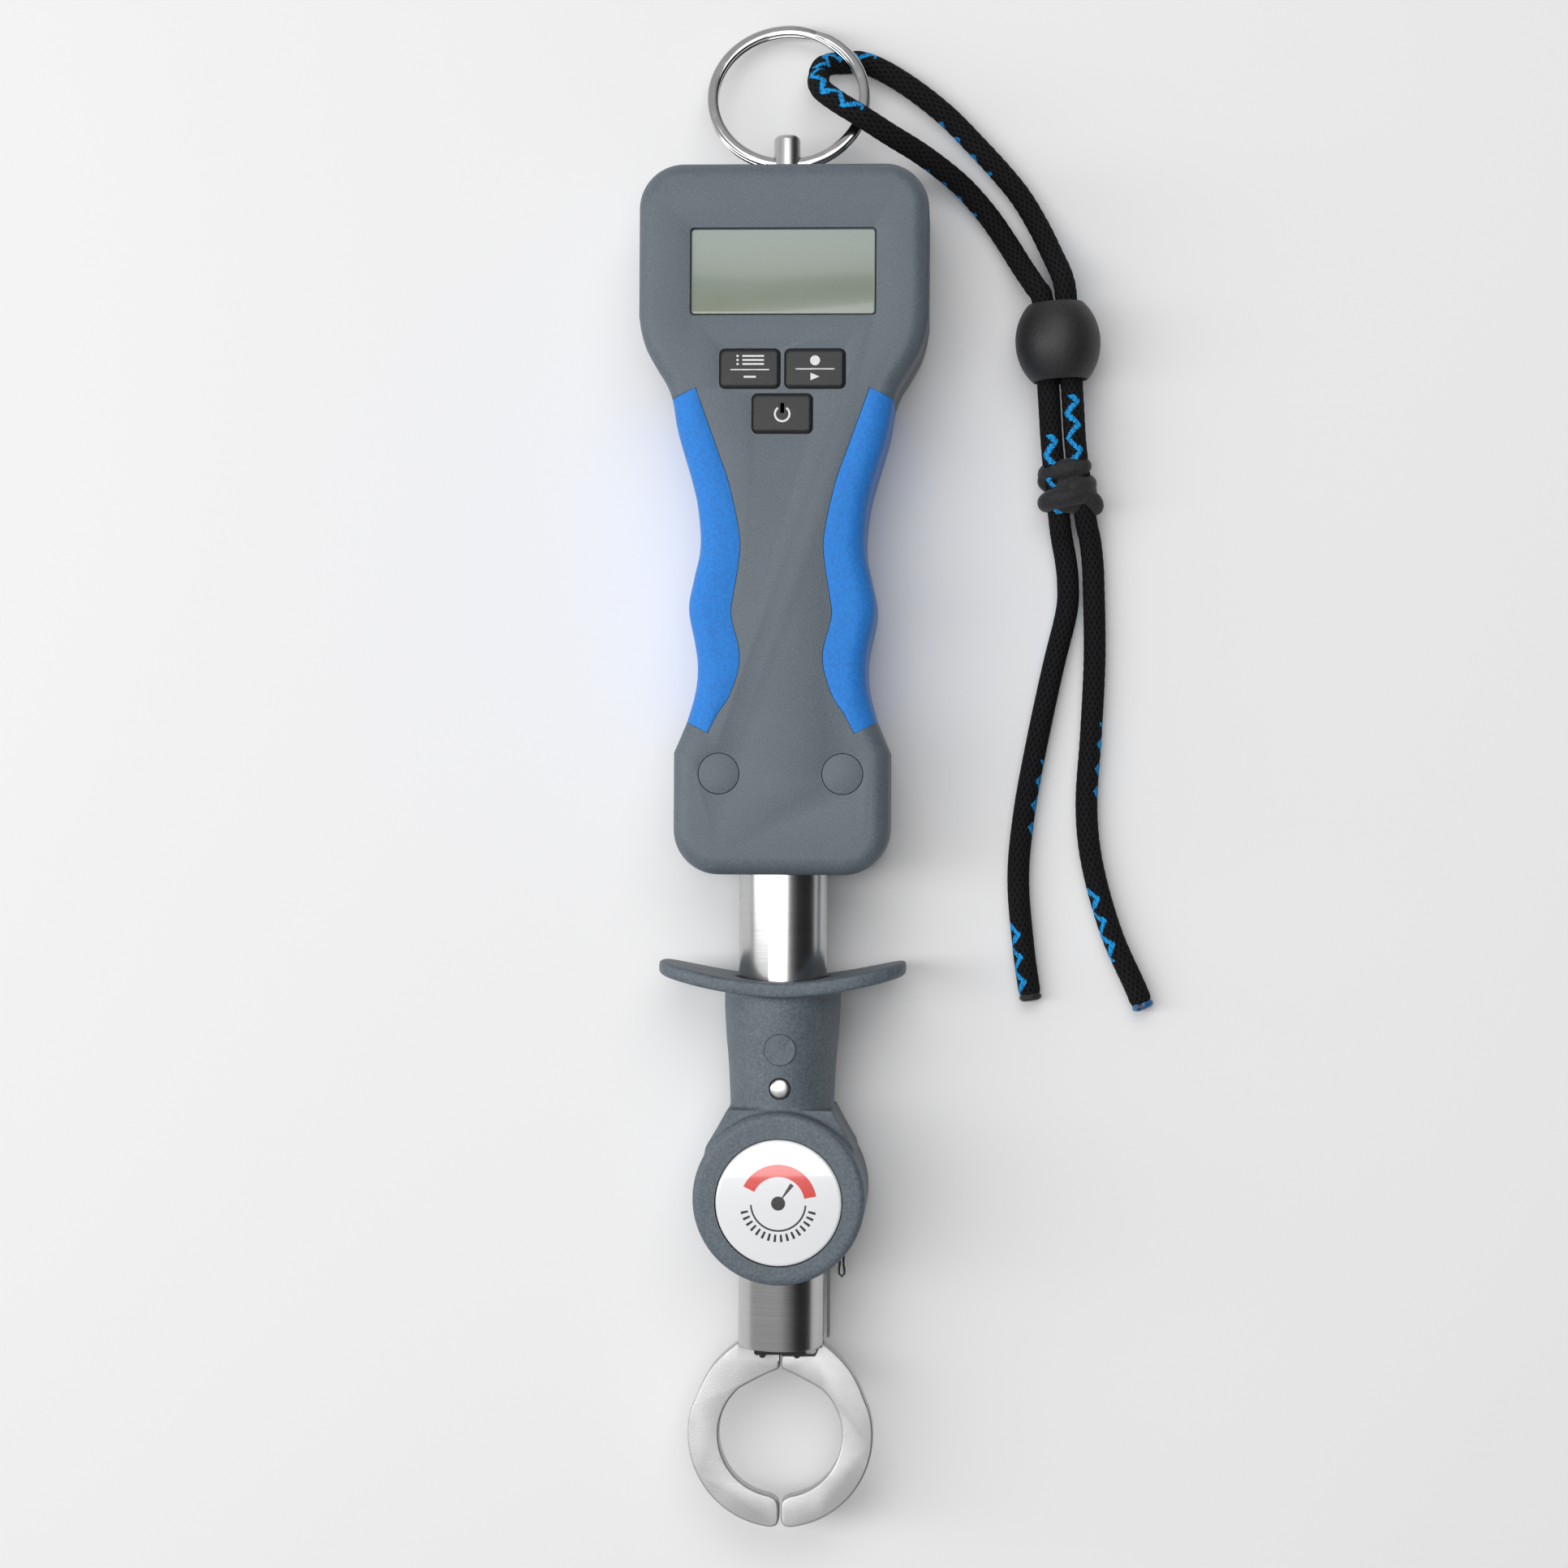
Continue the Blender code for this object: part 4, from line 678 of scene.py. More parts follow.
def grip_section(side, y, slope, out, deep, border, crown):
    edge_x = grip_edge(y) - border
    width = side_width(y)
    for _ in range(3):
        width = side_width(y + slope * (width - edge_x))
    side_y = y + slope * (width - edge_x)
    stretch = math.hypot(1, side_width(side_y + 0.5) - side_width(side_y - 0.5))
    centre_x = width - EDGE_RADIUS * stretch

    def wrap(grow, bulge):
        flat = [(edge_x + (centre_x - edge_x) * i / 5, EDGE_RADIUS, 0, 1) for i in range(5)]
        curve = [(centre_x, 0, math.sin(a), math.cos(a)) for a in (math.pi / 2 * i / 9 for i in range(10))]
        top = []
        for i, (x, dz, sx, cz) in enumerate(flat + curve):
            lift = grow + bulge * (1 - (1 - min(i / 4, 1)) ** 2)
            radius = EDGE_RADIUS + lift
            top.append((x, radius) if dz else (x + radius * stretch * sx, radius * cz))
        front = [(x, FRONT_Z - EDGE_RADIUS + dz) for x, dz in top]
        back = [(x, BACK_Z + EDGE_RADIUS - dz) for x, dz in reversed(top)]
        return front + back

    loop = wrap(out, crown) + wrap(-deep, 0)[::-1]
    return [(side * x, y + slope * (x - edge_x), z) for x, z in loop]


def grip(name, side, out=0.0, deep=GRIP_THICK, border=0.0, crown=0.0, steps=72):
    low, high = GRIP_STATIONS[0][0] - border, GRIP_STATIONS[-1][0] + border
    rings = []
    for i in range(steps + 1):
        t = i / steps
        slope = GRIP_END_SLOPES[0] * (1 - t) ** 3 + GRIP_END_SLOPES[1] * t ** 3
        ends = min(1.0, 14 * t, 14 * (1 - t))
        rings.append(grip_section(side, low + (high - low) * t, slope, out, deep, border, crown * ends))
    return solid(name, rings)


def boss_hole(name, x, y, sign):
    """Screw hole through both shells, with the head's counterbore on the side of the sign."""
    profile = ((1.6, -7.5), (1.6, 10.2), (3.3, 10.2), (3.3, 20))
    return turned(name, "Z", (x, y, AXIS_Z), [(r, sign * h) for r, h in profile], 32)


def shared_housing_cuts():
    cuts = [
        grip("cut_grip_right", 1, 2.0, GRIP_THICK + GRIP_SEAM, GRIP_SEAM),
        grip("cut_grip_left", -1, 2.0, GRIP_THICK + GRIP_SEAM, GRIP_SEAM),
        rod("cut_tube", "Y", (0, 0, AXIS_Z), BORE_R, -FAR, -10, 96),
        rod("cut_stud", "Y", (0, 0, AXIS_Z), STUD_R + 0.15, 120, 140, 48),
    ]
    for side in (-1, 1):
        cuts.append(boss_hole("cut_low", side * LOWER_BOSS[0], LOWER_BOSS[1], 1))
        cuts.append(boss_hole("cut_high", side * UPPER_BOSS[0], UPPER_BOSS[1], -1))
    return cuts


def bosses(low, high):
    return [rod("boss", "Z", (side * x, y, 0), BOSS_R, low, high, 32)
            for x, y in (LOWER_BOSS, UPPER_BOSS) for side in (-1, 1)]


def front_housing():
    made = shell("front_housing", FRONT_Z, -1, FRONT_SKIN)
    join(made, *bosses(AXIS_Z + 0.8, 27.8))
    cut(made, *shared_housing_cuts())
    opening = (PANEL_SIZE[0] + 2 * GAP, PANEL_SIZE[1] + 2 * GAP)
    cuts = [
        prism("cut_pocket", rounded_rectangle(POCKET_SIZE, 0.9, (0, DISPLAY_Y)), POCKET_FLOOR, FAR),
        prism("cut_opening", rounded_rectangle(opening, 0.8, (0, DISPLAY_Y)), 24, 29),
    ]
    for centre in KEYS.values():
        hole = rounded_rectangle((KEY_SIZE[0] + GAP, KEY_SIZE[1] + GAP), KEY_CORNER + GAP / 2, centre)
        cuts.append(prism("cut_key", hole, 24, FAR))
    for side in (-1, 1):
        centre = (side * LOWER_BOSS[0], LOWER_BOSS[1], 0)
        cuts.append(rod("cut_plug", "Z", centre, PLUG_R + 0.12, 28.2, 34, 72))
    cut(made, *cuts)
    soften(made, 0.16, 2)
    present(made, housing_plastic, "root", "housing", "front_shell")


def back_housing():
    made = shell("back_housing", BACK_Z, 1, BACK_SKIN)
    join(made, *bosses(3.4, AXIS_Z - 0.8))
    join(made, rod("boss_cover", "Z", (0, COVER_SCREW_Y, 0), 3.0, 3.4, 9.0, 32))
    cut(made, *shared_housing_cuts())
    half, low, high = COVER
    lid = rounded_rectangle((2 * half + GAP, high - low + GAP), 2.15, (0, (low + high) / 2))
    half, low, high = BAY
    bay = rounded_rectangle((2 * half, high - low), 1.2, (0, (low + high) / 2))
    cut(made, prism("cut_lid", lid, -5, 2.3), prism("cut_bay", bay, -5, 8),
        rod("cut_cover_screw_hole", "Z", (0, COVER_SCREW_Y, 0), 1.4, -5, 9.5, 32))
    soften(made, 0.16, 2)
    present(made, housing_plastic, "root", "housing", "back_shell")


def cross_recess(made, x, y, z, depth, reach=1.55, slot=0.34):
    """Cuts a cross-head recess into a screw's head from z."""
    low, high = min(z, z + depth), max(z, z + depth)
    cut(made, box("cut_across", (x - reach, y - slot, low), (x + reach, y + slot, high)))
    cut(made, box("cut_along", (x - slot, y - reach, low), (x + slot, y + reach, high)))


def screw(name, x, y, profile, face, depth, node):
    made = turned(name, "Z", (x, y, 0), profile, 40)
    cross_recess(made, x, y, face - math.copysign(0.5, depth), depth + math.copysign(0.5, depth))
    present(made, pin_steel, "root", "fastener", node)


def battery_cover():
    """The lid on the back, with a row of finger ribs and a sunk screw."""
    half, low, high = COVER
    middle = (low + high) / 2
    plate = rounded_rectangle((2 * half, high - low), 2.0, (0, middle))
    made = prism("battery_lid", plate, 0, 2.0)
    cut(made, rod("cut_hole", "Z", (0, COVER_SCREW_Y, 0), 1.4, -3, 5, 32),
        rod("cut_head", "Z", (0, COVER_SCREW_Y, 0), 2.8, -3, 1.2, 48))
    grooves = [prism("cut_rib", rounded_rectangle((15.0, 0.9), 0.44, (0, low + 5.0 + 2.0 * i)), -1, 0.45)
               for i in range(6)]
    cut(made, *grooves)
    soften(made, 0.2, 2)
    present(made, housing_plastic, "root", "housing", "battery_cover")
    screw("cover_screw_head", 0, COVER_SCREW_Y, COVER_SCREW, 0.1, 0.6, "cover_screw")


def housing():
    front_housing()
    back_housing()
    for side, label in ((-1, "left"), (1, "right")):
        made = grip(f"{label}_grip_pad", side, crown=GRIP_CROWN)
        present(made, blue_rubber, "root", "grip", f"{label}_grip")
        x, y = side * LOWER_BOSS[0], LOWER_BOSS[1]
        profile = ((PLUG_R, 28.5), (PLUG_R, 29.8), (PLUG_R - 0.06, 29.94), (PLUG_R - 0.2, 30.0))
        plug = turned(f"{label}_plug_cap", "Z", (x, y, 0), profile, 72)
        present(plug, housing_plastic, "root", "plug", f"{label}_screw_plug")
        x, y = side * UPPER_BOSS[0], UPPER_BOSS[1]
        profile = [(r, AXIS_Z - h) for r, h in BACK_SCREW]
        screw(f"back_screw_{label}", x, y, profile, 2.3, 1.0, f"housing_screw_high_{label}")
    battery_cover()


def display_and_keys():
    pane = rounded_rectangle(WINDOW_SIZE, 0.7, (0, DISPLAY_Y))
    window = prism("display_window", pane, POCKET_FLOOR + 0.1, 29.5)
    soften(window, 0.18, 3)
    present(window, lcd_surface, "root", "window", "lcd_window")
    for name, centre in KEYS.items():
        rim = rounded_rectangle(KEY_SIZE, KEY_CORNER, centre)
        levels = [(KEY_BOTTOM, 0.0)]
        for i in range(9):
            a = math.pi / 2 * i / 8
            levels.append((KEY_TOP - 0.9 * (1 - math.sin(a)), 0.9 * (1 - math.cos(a))))
        cap = solid(f"{name}_cap", [[(x, y, z) for x, y in inset(rim, offset)] for z, offset in levels])
        present(cap, key_rubber, name, "key", name)
    key_marks()


def marks(name, body, outlines):
    """Printed marks on a key's top, as thin slabs in one mesh."""
    verts, faces = [], []
    for outline in outlines:
        start, count = len(verts), len(outline)
        verts += [(x, y, z) for z in (KEY_TOP - 0.05, KEY_TOP + 0.02) for x, y in outline]
        faces.append(tuple(range(start, start + count)))
        faces.append(tuple(range(start + count, start + 2 * count)))
        faces += [(start + i, start + (i + 1) % count, start + count + (i + 1) % count, start + count + i)
                  for i in range(count)]
    made = mesh_object(name, verts, faces)
    present(made, print_white, body, "key")


def bar(x, y, width, height):
    return rounded_rectangle((width, height), height * 0.3, (x, y), 3)


def ring_part(x, y, radius, width, start, stop, steps=32):
    return arc((x, y), radius, start, stop, steps) + arc((x, y), radius - width, stop, start, steps)


def key_marks():
    """Generic pictograms: a list to look through, a record dot over a play mark, and standby."""
    x, y = KEYS["key_memory"]
    rows = [bar(x + 0.7, y + 0.95 + 0.85 * i, 4.6, 0.38) for i in range(3)]
    rows += [bar(x - 2.6, y + 0.95 + 0.85 * i, 0.5, 0.42) for i in range(3)]
    marks("memory_marks", "key_memory", rows + [bar(x, y - 0.25, 8.2, 0.24), bar(x, y - 1.75, 2.6, 0.42)])
    x, y = KEYS["key_record"]
    dot = arc((x, y + 1.7), 1.05, 0, 350, 35)
    play = [(x - 0.95, y - 0.9), (x - 0.95, y - 2.5), (x + 0.95, y - 1.7)]
    marks("record_marks", "key_record", [dot, bar(x, y - 0.1, 8.2, 0.24), play])
    x, y = KEYS["key_power"]
    marks("power_marks", "key_power",
          [ring_part(x, y - 0.1, 1.75, 0.42, 125, 415), bar(x, y + 1.15, 0.42, 2.1)])


# ---- ring and stud ----

def split_ring():
    """Two turns of flat-sided spring wire, with a short crossover and cut ends."""
    turns, steps, half = 2.0, 336, 14
    lift = RING_WIRE_R * 0.51
    rings = []
    for i in range(steps + 1):
        t = i / steps
        a = math.radians(70) + TURN * turns * t
        cross = min(max((t - 0.5) / 0.055 + 0.5, 0), 1)
        level = lift * (2 * cross * cross * (3 - 2 * cross) - 1)
        grown = min(1.0, 0.72 + 22 * min(t, 1 - t))
        ring = []
        for j in range(half * 2):
            b = TURN * j / (half * 2)
            wide = math.copysign(abs(math.cos(b)) ** 0.8, math.cos(b)) * RING_WIRE_R * grown
            tall = math.copysign(abs(math.sin(b)) ** 0.8, math.sin(b)) * lift * 0.96 * grown
            reach = RING_R + wide
            across, along = reach * math.cos(a), RING_R + reach * math.sin(a)
            up = level + tall
            y = RING_HINGE_Y + along * math.cos(RING_TILT) + up * math.sin(RING_TILT)
            ring.append((across, y, AXIS_Z - along * math.sin(RING_TILT) + up * math.cos(RING_TILT)))
        rings.append(ring)
    made = solid("split_ring_coil", rings, sharp=50)
    present(made, ring_steel, "ring", "ring", "split_ring")


def stud():
    profile = ((4.4, 122.5), (4.4, 126.5), (STUD_R, 126.5), (STUD_R, 138.7), (STUD_R - 0.25, 139.2),
               (STUD_R - 0.75, 139.6), (STUD_R - 1.5, STUD_TOP))
    made = turned("ring_stud_post", "Y", (0, 0, AXIS_Z), profile, 64, sharp=40)
    cut(made, rod("cut_eye", "X", (0, RING_HINGE_Y, AXIS_Z), RING_WIRE_R + 0.5, -9, 9, 48))
    present(made, pin_steel, "root", "steel", "ring_stud")


# ---- tube and slider ----

def gripper_tube():
    wall = ((TUBE_R - 0.15, TUBE_TOP), (TUBE_R, TUBE_TOP - 0.15), (TUBE_R, TUBE_END + 0.3),
            (TUBE_R - 0.1, TUBE_END + 0.08), (TUBE_R - 0.3, TUBE_END), (TUBE_BORE_R, TUBE_END),
            (TUBE_BORE_R, TUBE_TOP))
    made = turned("gripper_tube", "Y", (0, 0, AXIS_Z), wall, 160, closed=True)
    slot = rounded_rectangle((5.2, TRAVEL + 5.2), 2.5, (0, SLIDER_PIN_Y + TRAVEL / 2))
    jaw_slots = box("cut_jaw_slots", (-20, -130, 12.2), (20, PIVOT_Y + 16, 17.8))
    cut(made, prism("cut_pin_slots", slot, -5, 40), jaw_slots,
        rod("cut_cross", "X", (0, -10, AXIS_Z), 1.8, -20, 20, 32))
    present(made, tube_steel, "root", "steel", "tube")
    pin = rod("pivot_pin", "Z", (0, PIVOT_Y, 0), PIVOT_PIN_R, 6.9, 23.1, 48)
    present(pin, pin_steel, "root", "fastener", "jaw_pivot_pin")


def flange_rings(steps=144):
    """A saddle-shaped plate whose tips reach towards the handle, with a rounded rim."""
    rim = [(1 - 0.07 * (1 - math.sin(a)), 0.75 * (1 - math.cos(a))) for a in
           (math.pi / 2 * i / 5 for i in range(6))]
    sides = [(0.0, 0.0), (0.3, 0.0), (0.6, 0.0), (0.8, 0.0)] + rim
    levels = sides + [(s, FLANGE_THICK - d) for s, d in reversed(sides)]
    rings = []
    for scale, drop in levels:
        ring = []
        for i in range(steps):
            a = TURN * i / steps
            ca, sa = math.cos(a), math.sin(a)
            square = (abs(ca) ** 3.2 + abs(sa) ** 3.2) ** (-1 / 3.2)
            outer = Vector((FLANGE_HALF_WIDTH * square * ca, FLANGE_HALF_DEPTH * square * sa))
            p = Vector((10.2 * ca, 10.2 * sa)).lerp(outer, scale)
            rise = FLANGE_TIP_RISE * (abs(p.x) / FLANGE_HALF_WIDTH) ** 1.7
            ring.append((p.x, FLANGE_MID_Y + rise - drop, AXIS_Z + p.y))
        rings.append(ring)
    return rings


def slider_blank():
    """Flange, collar and disc fused into one moulding with small fillets."""
    collar = ((12.5, -42.9), (12.5, -48.0), (12.15, -54.0), (11.6, -60.0), (11.25, -67.0), (11.0, -74.0))
    rim = [(DISC_R - 1.3 * (1 - math.sin(a)), 1.3 * (1 - math.cos(a))) for a in
           (math.pi / 2 * i / 6 for i in range(7))]
    disc = [(r, DISC_BACK + d) for r, d in rim] + [(r, DISC_FRONT - d) for r, d in reversed(rim)]
    web = [(-x, y) for x, y in WEB] + list(reversed(WEB))
    made = turned("slider_blank", "Y", (0, 0, AXIS_Z), collar, 128)
    parts = [solid("flange", flange_rings(), closed=True), turned("disc", "Z", (0, DISC_Y, 0), disc, 160),
             prism("web", web, 4.0, 26.0)]
    return fuse(made, parts, 0.4, 5)


def slider_half(name, blank, low, high, node):
    made = blank.copy()
    made.data = blank.data.copy()
    made.name = name
    bpy.context.scene.collection.objects.link(made)
    cuts = [box("cut_half", (-50, -130, low), (50, -20, high)),
            rod("cut_bore", "Y", (0, 0, AXIS_Z), TUBE_R + 0.15, -120, -30, 128),
            rod("cut_pin", "Z", (0, SLIDER_PIN_Y, 0), SLIDER_PIN_R + 0.2, -5, 40, 64)]
    if node == "slider_front":
        cuts.append(rod("cut_badge", "Z", (0, BADGE_Y, 0), BADGE_R + 0.2, 27.2, 40, 128))
        cuts.append(tube_cut())
    for side in (-1, 1):
        centre = (side * SLIDER_SCREW_X, DISC_Y, 0)
        profile = ((2.9, -5), (2.9, 4.2), (1.6, 4.2), (1.6, AXIS_Z), (1.4, AXIS_Z), (1.4, 24.5))
        cuts.append(turned("cut_screw", "Z", centre, profile, 48))
    for other in cuts:
        modifier = made.modifiers.new(other.name, "BOOLEAN")
        modifier.solver = "MANIFOLD"
        modifier.object = other
    settle(made)
    for other in cuts:
        bpy.data.objects.remove(other)
    present(made, slider_plastic, "slider", "housing", node)


def tube_cut():
    """The fine round groove of the plug in the collar's front."""
    outer, inner = SLIDER_PLUG_R + 0.1, SLIDER_PLUG_R - 0.1
    return turned("cut_plug_line", "Z", (0, SLIDER_PLUG_Y, 0),
                  ((outer, 25.0), (outer, 40), (inner, 40), (inner, 25.0)), 72, closed=True)


def slider():
    blank = slider_blank()
    slider_half("slider_body_front", blank, -9, AXIS_Z + 0.1, "slider_front")
    slider_half("slider_body_back", blank, AXIS_Z - 0.1, 39, "slider_back")
    bpy.data.objects.remove(blank)
    dome = [(BADGE_R, 27.5), (BADGE_R, 29.0)]
    dome += [(BADGE_R - 0.7 * (1 - math.cos(a)), 29.0 + 0.45 * math.sin(a)) for a in
             (math.pi / 2 * i / 6 for i in range(1, 7))]
    dome += [(r, 29.45 + 0.5 * (1 - (r / (BADGE_R - 0.7)) ** 2)) for r in (11.0, 9.0, 6.5, 4.0, 2.0, 0.6)]
    badge = turned("badge_dome", "Z", (0, BADGE_Y, 0), dome, 128, sharp=60)
    present(badge, badge_gloss, "slider", "badge", "slider_badge")
    pin = turned("slider_pin_end", "Z", (0, SLIDER_PIN_Y, 0),
                 ((SLIDER_PIN_R - 0.3, 3.9), (SLIDER_PIN_R, 4.2), (SLIDER_PIN_R, 26.0),
                  (SLIDER_PIN_R - 0.15, 26.25), (SLIDER_PIN_R - 0.6, 26.45), (0.4, 26.5)), 64, sharp=50)
    present(pin, pin_steel, "slider", "fastener", "slider_pin")
    for side, label in ((-1, "left"), (1, "right")):
        x = side * SLIDER_SCREW_X
        made = turned(f"disc_screw_{label}", "Z", (x, DISC_Y, 0),
                      ((1.6, 1.0), (2.2, 1.15), (2.5, 1.5), (2.5, 3.8), (1.1, 3.8), (1.1, 23.5)), 40)
        cross_recess(made, x, DISC_Y, 0.5, 1.5, 1.4)
        present(made, pin_steel, "slider", "fastener", f"slider_screw_{label}")


# ---- jaws ----

def jaw_tail_point(side, travel):
    """Where the drive pin lies in the jaw's own frame when the slider has moved this far."""
    angle = JAW_SWING * travel / TRAVEL
    reach = DRIVE_START + travel
    return Vector((side * reach * math.sin(angle), PIVOT_Y + reach * math.cos(angle)))


def along_slot(side, radius, low, high, steps=16):
    """Outline of a band of this radius round the drive pin's path."""
    points = [jaw_tail_point(side, low + (high - low) * i / steps) for i in range(steps + 1)]
    left, right = [], []
    for i, p in enumerate(points):
        d = (points[min(i + 1, steps)] - points[max(i - 1, 0)]).normalized()
        left.append(p + Vector((-d.y, d.x)) * radius)
        right.append(p - Vector((-d.y, d.x)) * radius)

    def end_cap(centre, start):
        first = start - centre
        turns = [math.pi * k / 10 for k in range(1, 10)]
        return [centre + Vector((first.x * math.cos(t) + first.y * math.sin(t),
                                 -first.x * math.sin(t) + first.y * math.cos(t))) for t in turns]

    outline = left + end_cap(points[-1], left[-1]) + right[::-1] + end_cap(points[0], right[0])
    return [tuple(p) for p in outline]


def jaw_arm(side):
    """The hooked arm: a sickle whose shoulder leaves the tube and whose blunt tip meets the other jaw's."""
    shoulder = smooth_route([(x, y, 0) for x, y in JAW_SHOULDER], 0.6)
    outer = [(0.2, -123.1), (7.4, -123.1), (8.2, -120.6)] + [(p.x, p.y) for p in shoulder]
    outer += arc((0, JAW_RING_Y), JAW_OUTER_R, 18, -84, 56)
    low, high = JAW_RING_Y - JAW_OUTER_R, JAW_RING_Y - JAW_INNER_R
    tip = [(1.0, low + 0.3), (0.45, low + 0.8), (0.2, low + 1.8)]
    tip += [(0.2, high - 2.2), (0.5, high - 1.0), (1.2, high - 0.25)]
    inner = arc((0, JAW_RING_Y), JAW_INNER_R, -80, 48, 44)
    throat = smooth_route([(x, y, 0) for x, y in JAW_THROAT], 0.8)
    return [(side * x, y) for x, y in outer + tip + inner + [(p.x, p.y) for p in throat[1:]]]


def jaw(name, side, low, node):
    arm = prism(name, jaw_arm(side), AXIS_Z - JAW_HALF_THICK, AXIS_Z + JAW_HALF_THICK)
    soften(arm, 0.5, 4, 50)
    shoulder = [(side * x, y) for x, y in ((4.6, -119.5), (5.4, -117.0), (9.3, -121.2), (9.3, -124.0),
                                           (0.3, -124.4), (0.3, -119.5))]
    tail = along_slot(side, DRIVE_PIN_R + 1.4, -1.5, TRAVEL)
    join(arm, prism("shoulder", shoulder, low, low + PLATE_THICK),
         rod("hub", "Z", (0, PIVOT_Y, 0), 5.6, low, low + PLATE_THICK),
         prism("tail", tail, low, low + PLATE_THICK))
    slot = along_slot(side, DRIVE_PIN_R + 0.15, 0, TRAVEL)
    pivot_hole = rod("cut_pivot", "Z", (0, PIVOT_Y, 0), PIVOT_PIN_R + 0.1, 0, 30, 48)
    cut(arm, pivot_hole, prism("cut_cam", slot, 0, 30))
    present(arm, jaw_steel, node, "jaw", node)


def jaws():
    jaw("jaw_blade_left", -1, AXIS_Z + PLATE_MID_GAP, "jaw_left")
    jaw("jaw_blade_right", 1, AXIS_Z - PLATE_MID_GAP - PLATE_THICK, "jaw_right")
    for label in ("front", "back"):
        low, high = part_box(f"jaw_spacer_{label}")
        bottom, top = low.z / MM, high.z / MM
        end, head = low.y / MM + DATUM_Y, high.y / MM + DATUM_Y
        outline = [(-5.5, head), (-5.5, end + 1.0), (-4.9, end + 0.5)]
        for centre in (-3.7, 3.7):
            outline += arc((centre, end + 0.75), 0.75, 180, 360, 10)
        outline += [(4.9, end + 0.5), (5.5, end + 1.0), (5.5, head)]
        made = prism(f"jaw_guide_{label}", outline, bottom, top)
        cut(made, rod("cut_pivot", "Z", (0, PIVOT_Y, 0), PIVOT_PIN_R + 0.2, 0, 30, 32))
        soften(made, 0.2, 2)
        present(made, black_rubber, "root", "rubber", f"jaw_spacer_{label}")


# ---- lanyard ----

def cord(name, path, nodes, tip_name, tip_look, steps=48):
    """One braided cord from the middle of the bight to its melted end."""
    strands, pitch, high = 6, 2.2, 0.07
    last = len(path) - 1
    obj = tube_mesh(name, path, [CORD_R] * len(path), steps)
    ridged = []
    for i, ((u, v), point) in enumerate(zip(frames_along(path), path)):
        run = TURN * i * CORD_STEP / pitch
        ends = min(1.0, 0.88 + 0.05 * min(i, last - i))
        for j in range(steps):
            a = TURN * j / steps
            weave = max(math.sin(strands * a + run), math.sin(strands * a - run))
            r = (CORD_R - 0.06 + high * weave) * ends
            ridged.append(metres(point + u * (r * math.cos(a)) + v * (r * math.sin(a))))
    for vertex, place in zip(obj.data.vertices, ridged):
        vertex.co = place
    obj.data.shade_smooth()
    obj.data.materials.append(cord_braid)
    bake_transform(obj)
    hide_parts(*nodes)
    tip = melted_end(tip_name, path, tip_look)


def melted_end(name, path, look):
    """The cord's end, melted into a blunt uneven cap."""
    along = (path[-1] - path[-2]).normalized()
    u = along.orthogonal().normalized()
    v = along.cross(u)
    profile = [(CORD_R * 0.86, -0.5), (CORD_R * 0.98, 0.1), (CORD_R * 1.02, 0.5), (CORD_R * 0.92, 0.95),
               (CORD_R * 0.7, 1.2), (CORD_R * 0.35, 1.25), (CORD_R * 0.08, 1.2)]
    rings = []
    for r, w in profile:
        ring = []
        for i in range(40):
            a = TURN * i / 40
            wobble = 1 + 0.03 * math.sin(3 * a + w) + 0.02 * math.sin(7 * a)
            across = u * (r * wobble * math.cos(a)) + v * (r * wobble * math.sin(a))
            ring.append(tuple(path[-1] + along * w + across))
        rings.append(ring)
    return present(solid(name, rings, sharp=60), look, "root", "cord")


CORD_STEP = 0.45


def cord_paths():
    """Both cords, from the bight's middle through the bead and the knot to the tail ends."""
    upper = list(LOOP[:LOOP_MIDDLE + 1])[::-1] + list(RIGHT_TAIL)
    lower = list(LOOP[LOOP_MIDDLE:]) + list(LEFT_TAIL)
    return smooth_route(upper, CORD_STEP), smooth_route(lower, CORD_STEP)


def wrap_path(radius_x, radius_z, low, high, turns, start):
    """A helix round the knot's length, flattened to lie over both cords."""
    points = []
    count = 64
    for i in range(count + 1):
        t = i / count
        a = start + TURN * turns * t
        y = high + (low - high) * t
        points.append(KNOT_CENTRE + Vector((radius_x * math.cos(a), y, radius_z * math.sin(a))))
    return points


def knot():
    """An overhand knot drawn tight: two wraps round the pair of cords, and a core that fills them."""
    core_rings = []
    for i in range(25):
        level = math.cos(math.pi * i / 24)
        spread = math.sqrt(max(1 - level ** 2, 0.0)) ** 0.6
        ring = []
        for j in range(48):
            a = TURN * j / 48
            ring.append((KNOT_CENTRE.x + (0.4 + 4.6 * spread) * math.cos(a), KNOT_CENTRE.y + 5.9 * level,
                         KNOT_CENTRE.z + (0.4 + 3.9 * spread) * math.sin(a)))
        core_rings.append(ring)
    wraps = [
        wrap_path(4.35, 3.9, -4.0, 1.6, 1.15, math.radians(150)),
        wrap_path(4.3, 3.85, -0.6, 4.4, 1.2, math.radians(20)),
    ]
    made = solid("knot_core", core_rings)
    parts = []
    for i, path in enumerate(wraps):
        radii = [2.15 * min(1.0, 0.6 + 0.12 * min(k, len(path) - 1 - k)) for k in range(len(path))]
        parts.append(tube_mesh(f"wrap_{i}", path, radii, 32))
    ear = [KNOT_CENTRE + Vector(p) for p in
           ((2.0, -1.0, 1.2), (4.0, -2.2, 1.8), (5.6, -3.3, 1.2), (6.1, -4.4, -0.2), (5.0, -5.0, -1.4))]
    path = smooth_route(ear, 0.5)
    parts.append(tube_mesh("ear", path, [1.9 * min(1.0, 0.7 + 0.1 * min(k, len(path) - 1 - k))
                                         for k in range(len(path))], 32))
    fuse(made, parts, 0.26, 2)
    present(made, knot_fabric, "root", "cord", "lanyard_knot")


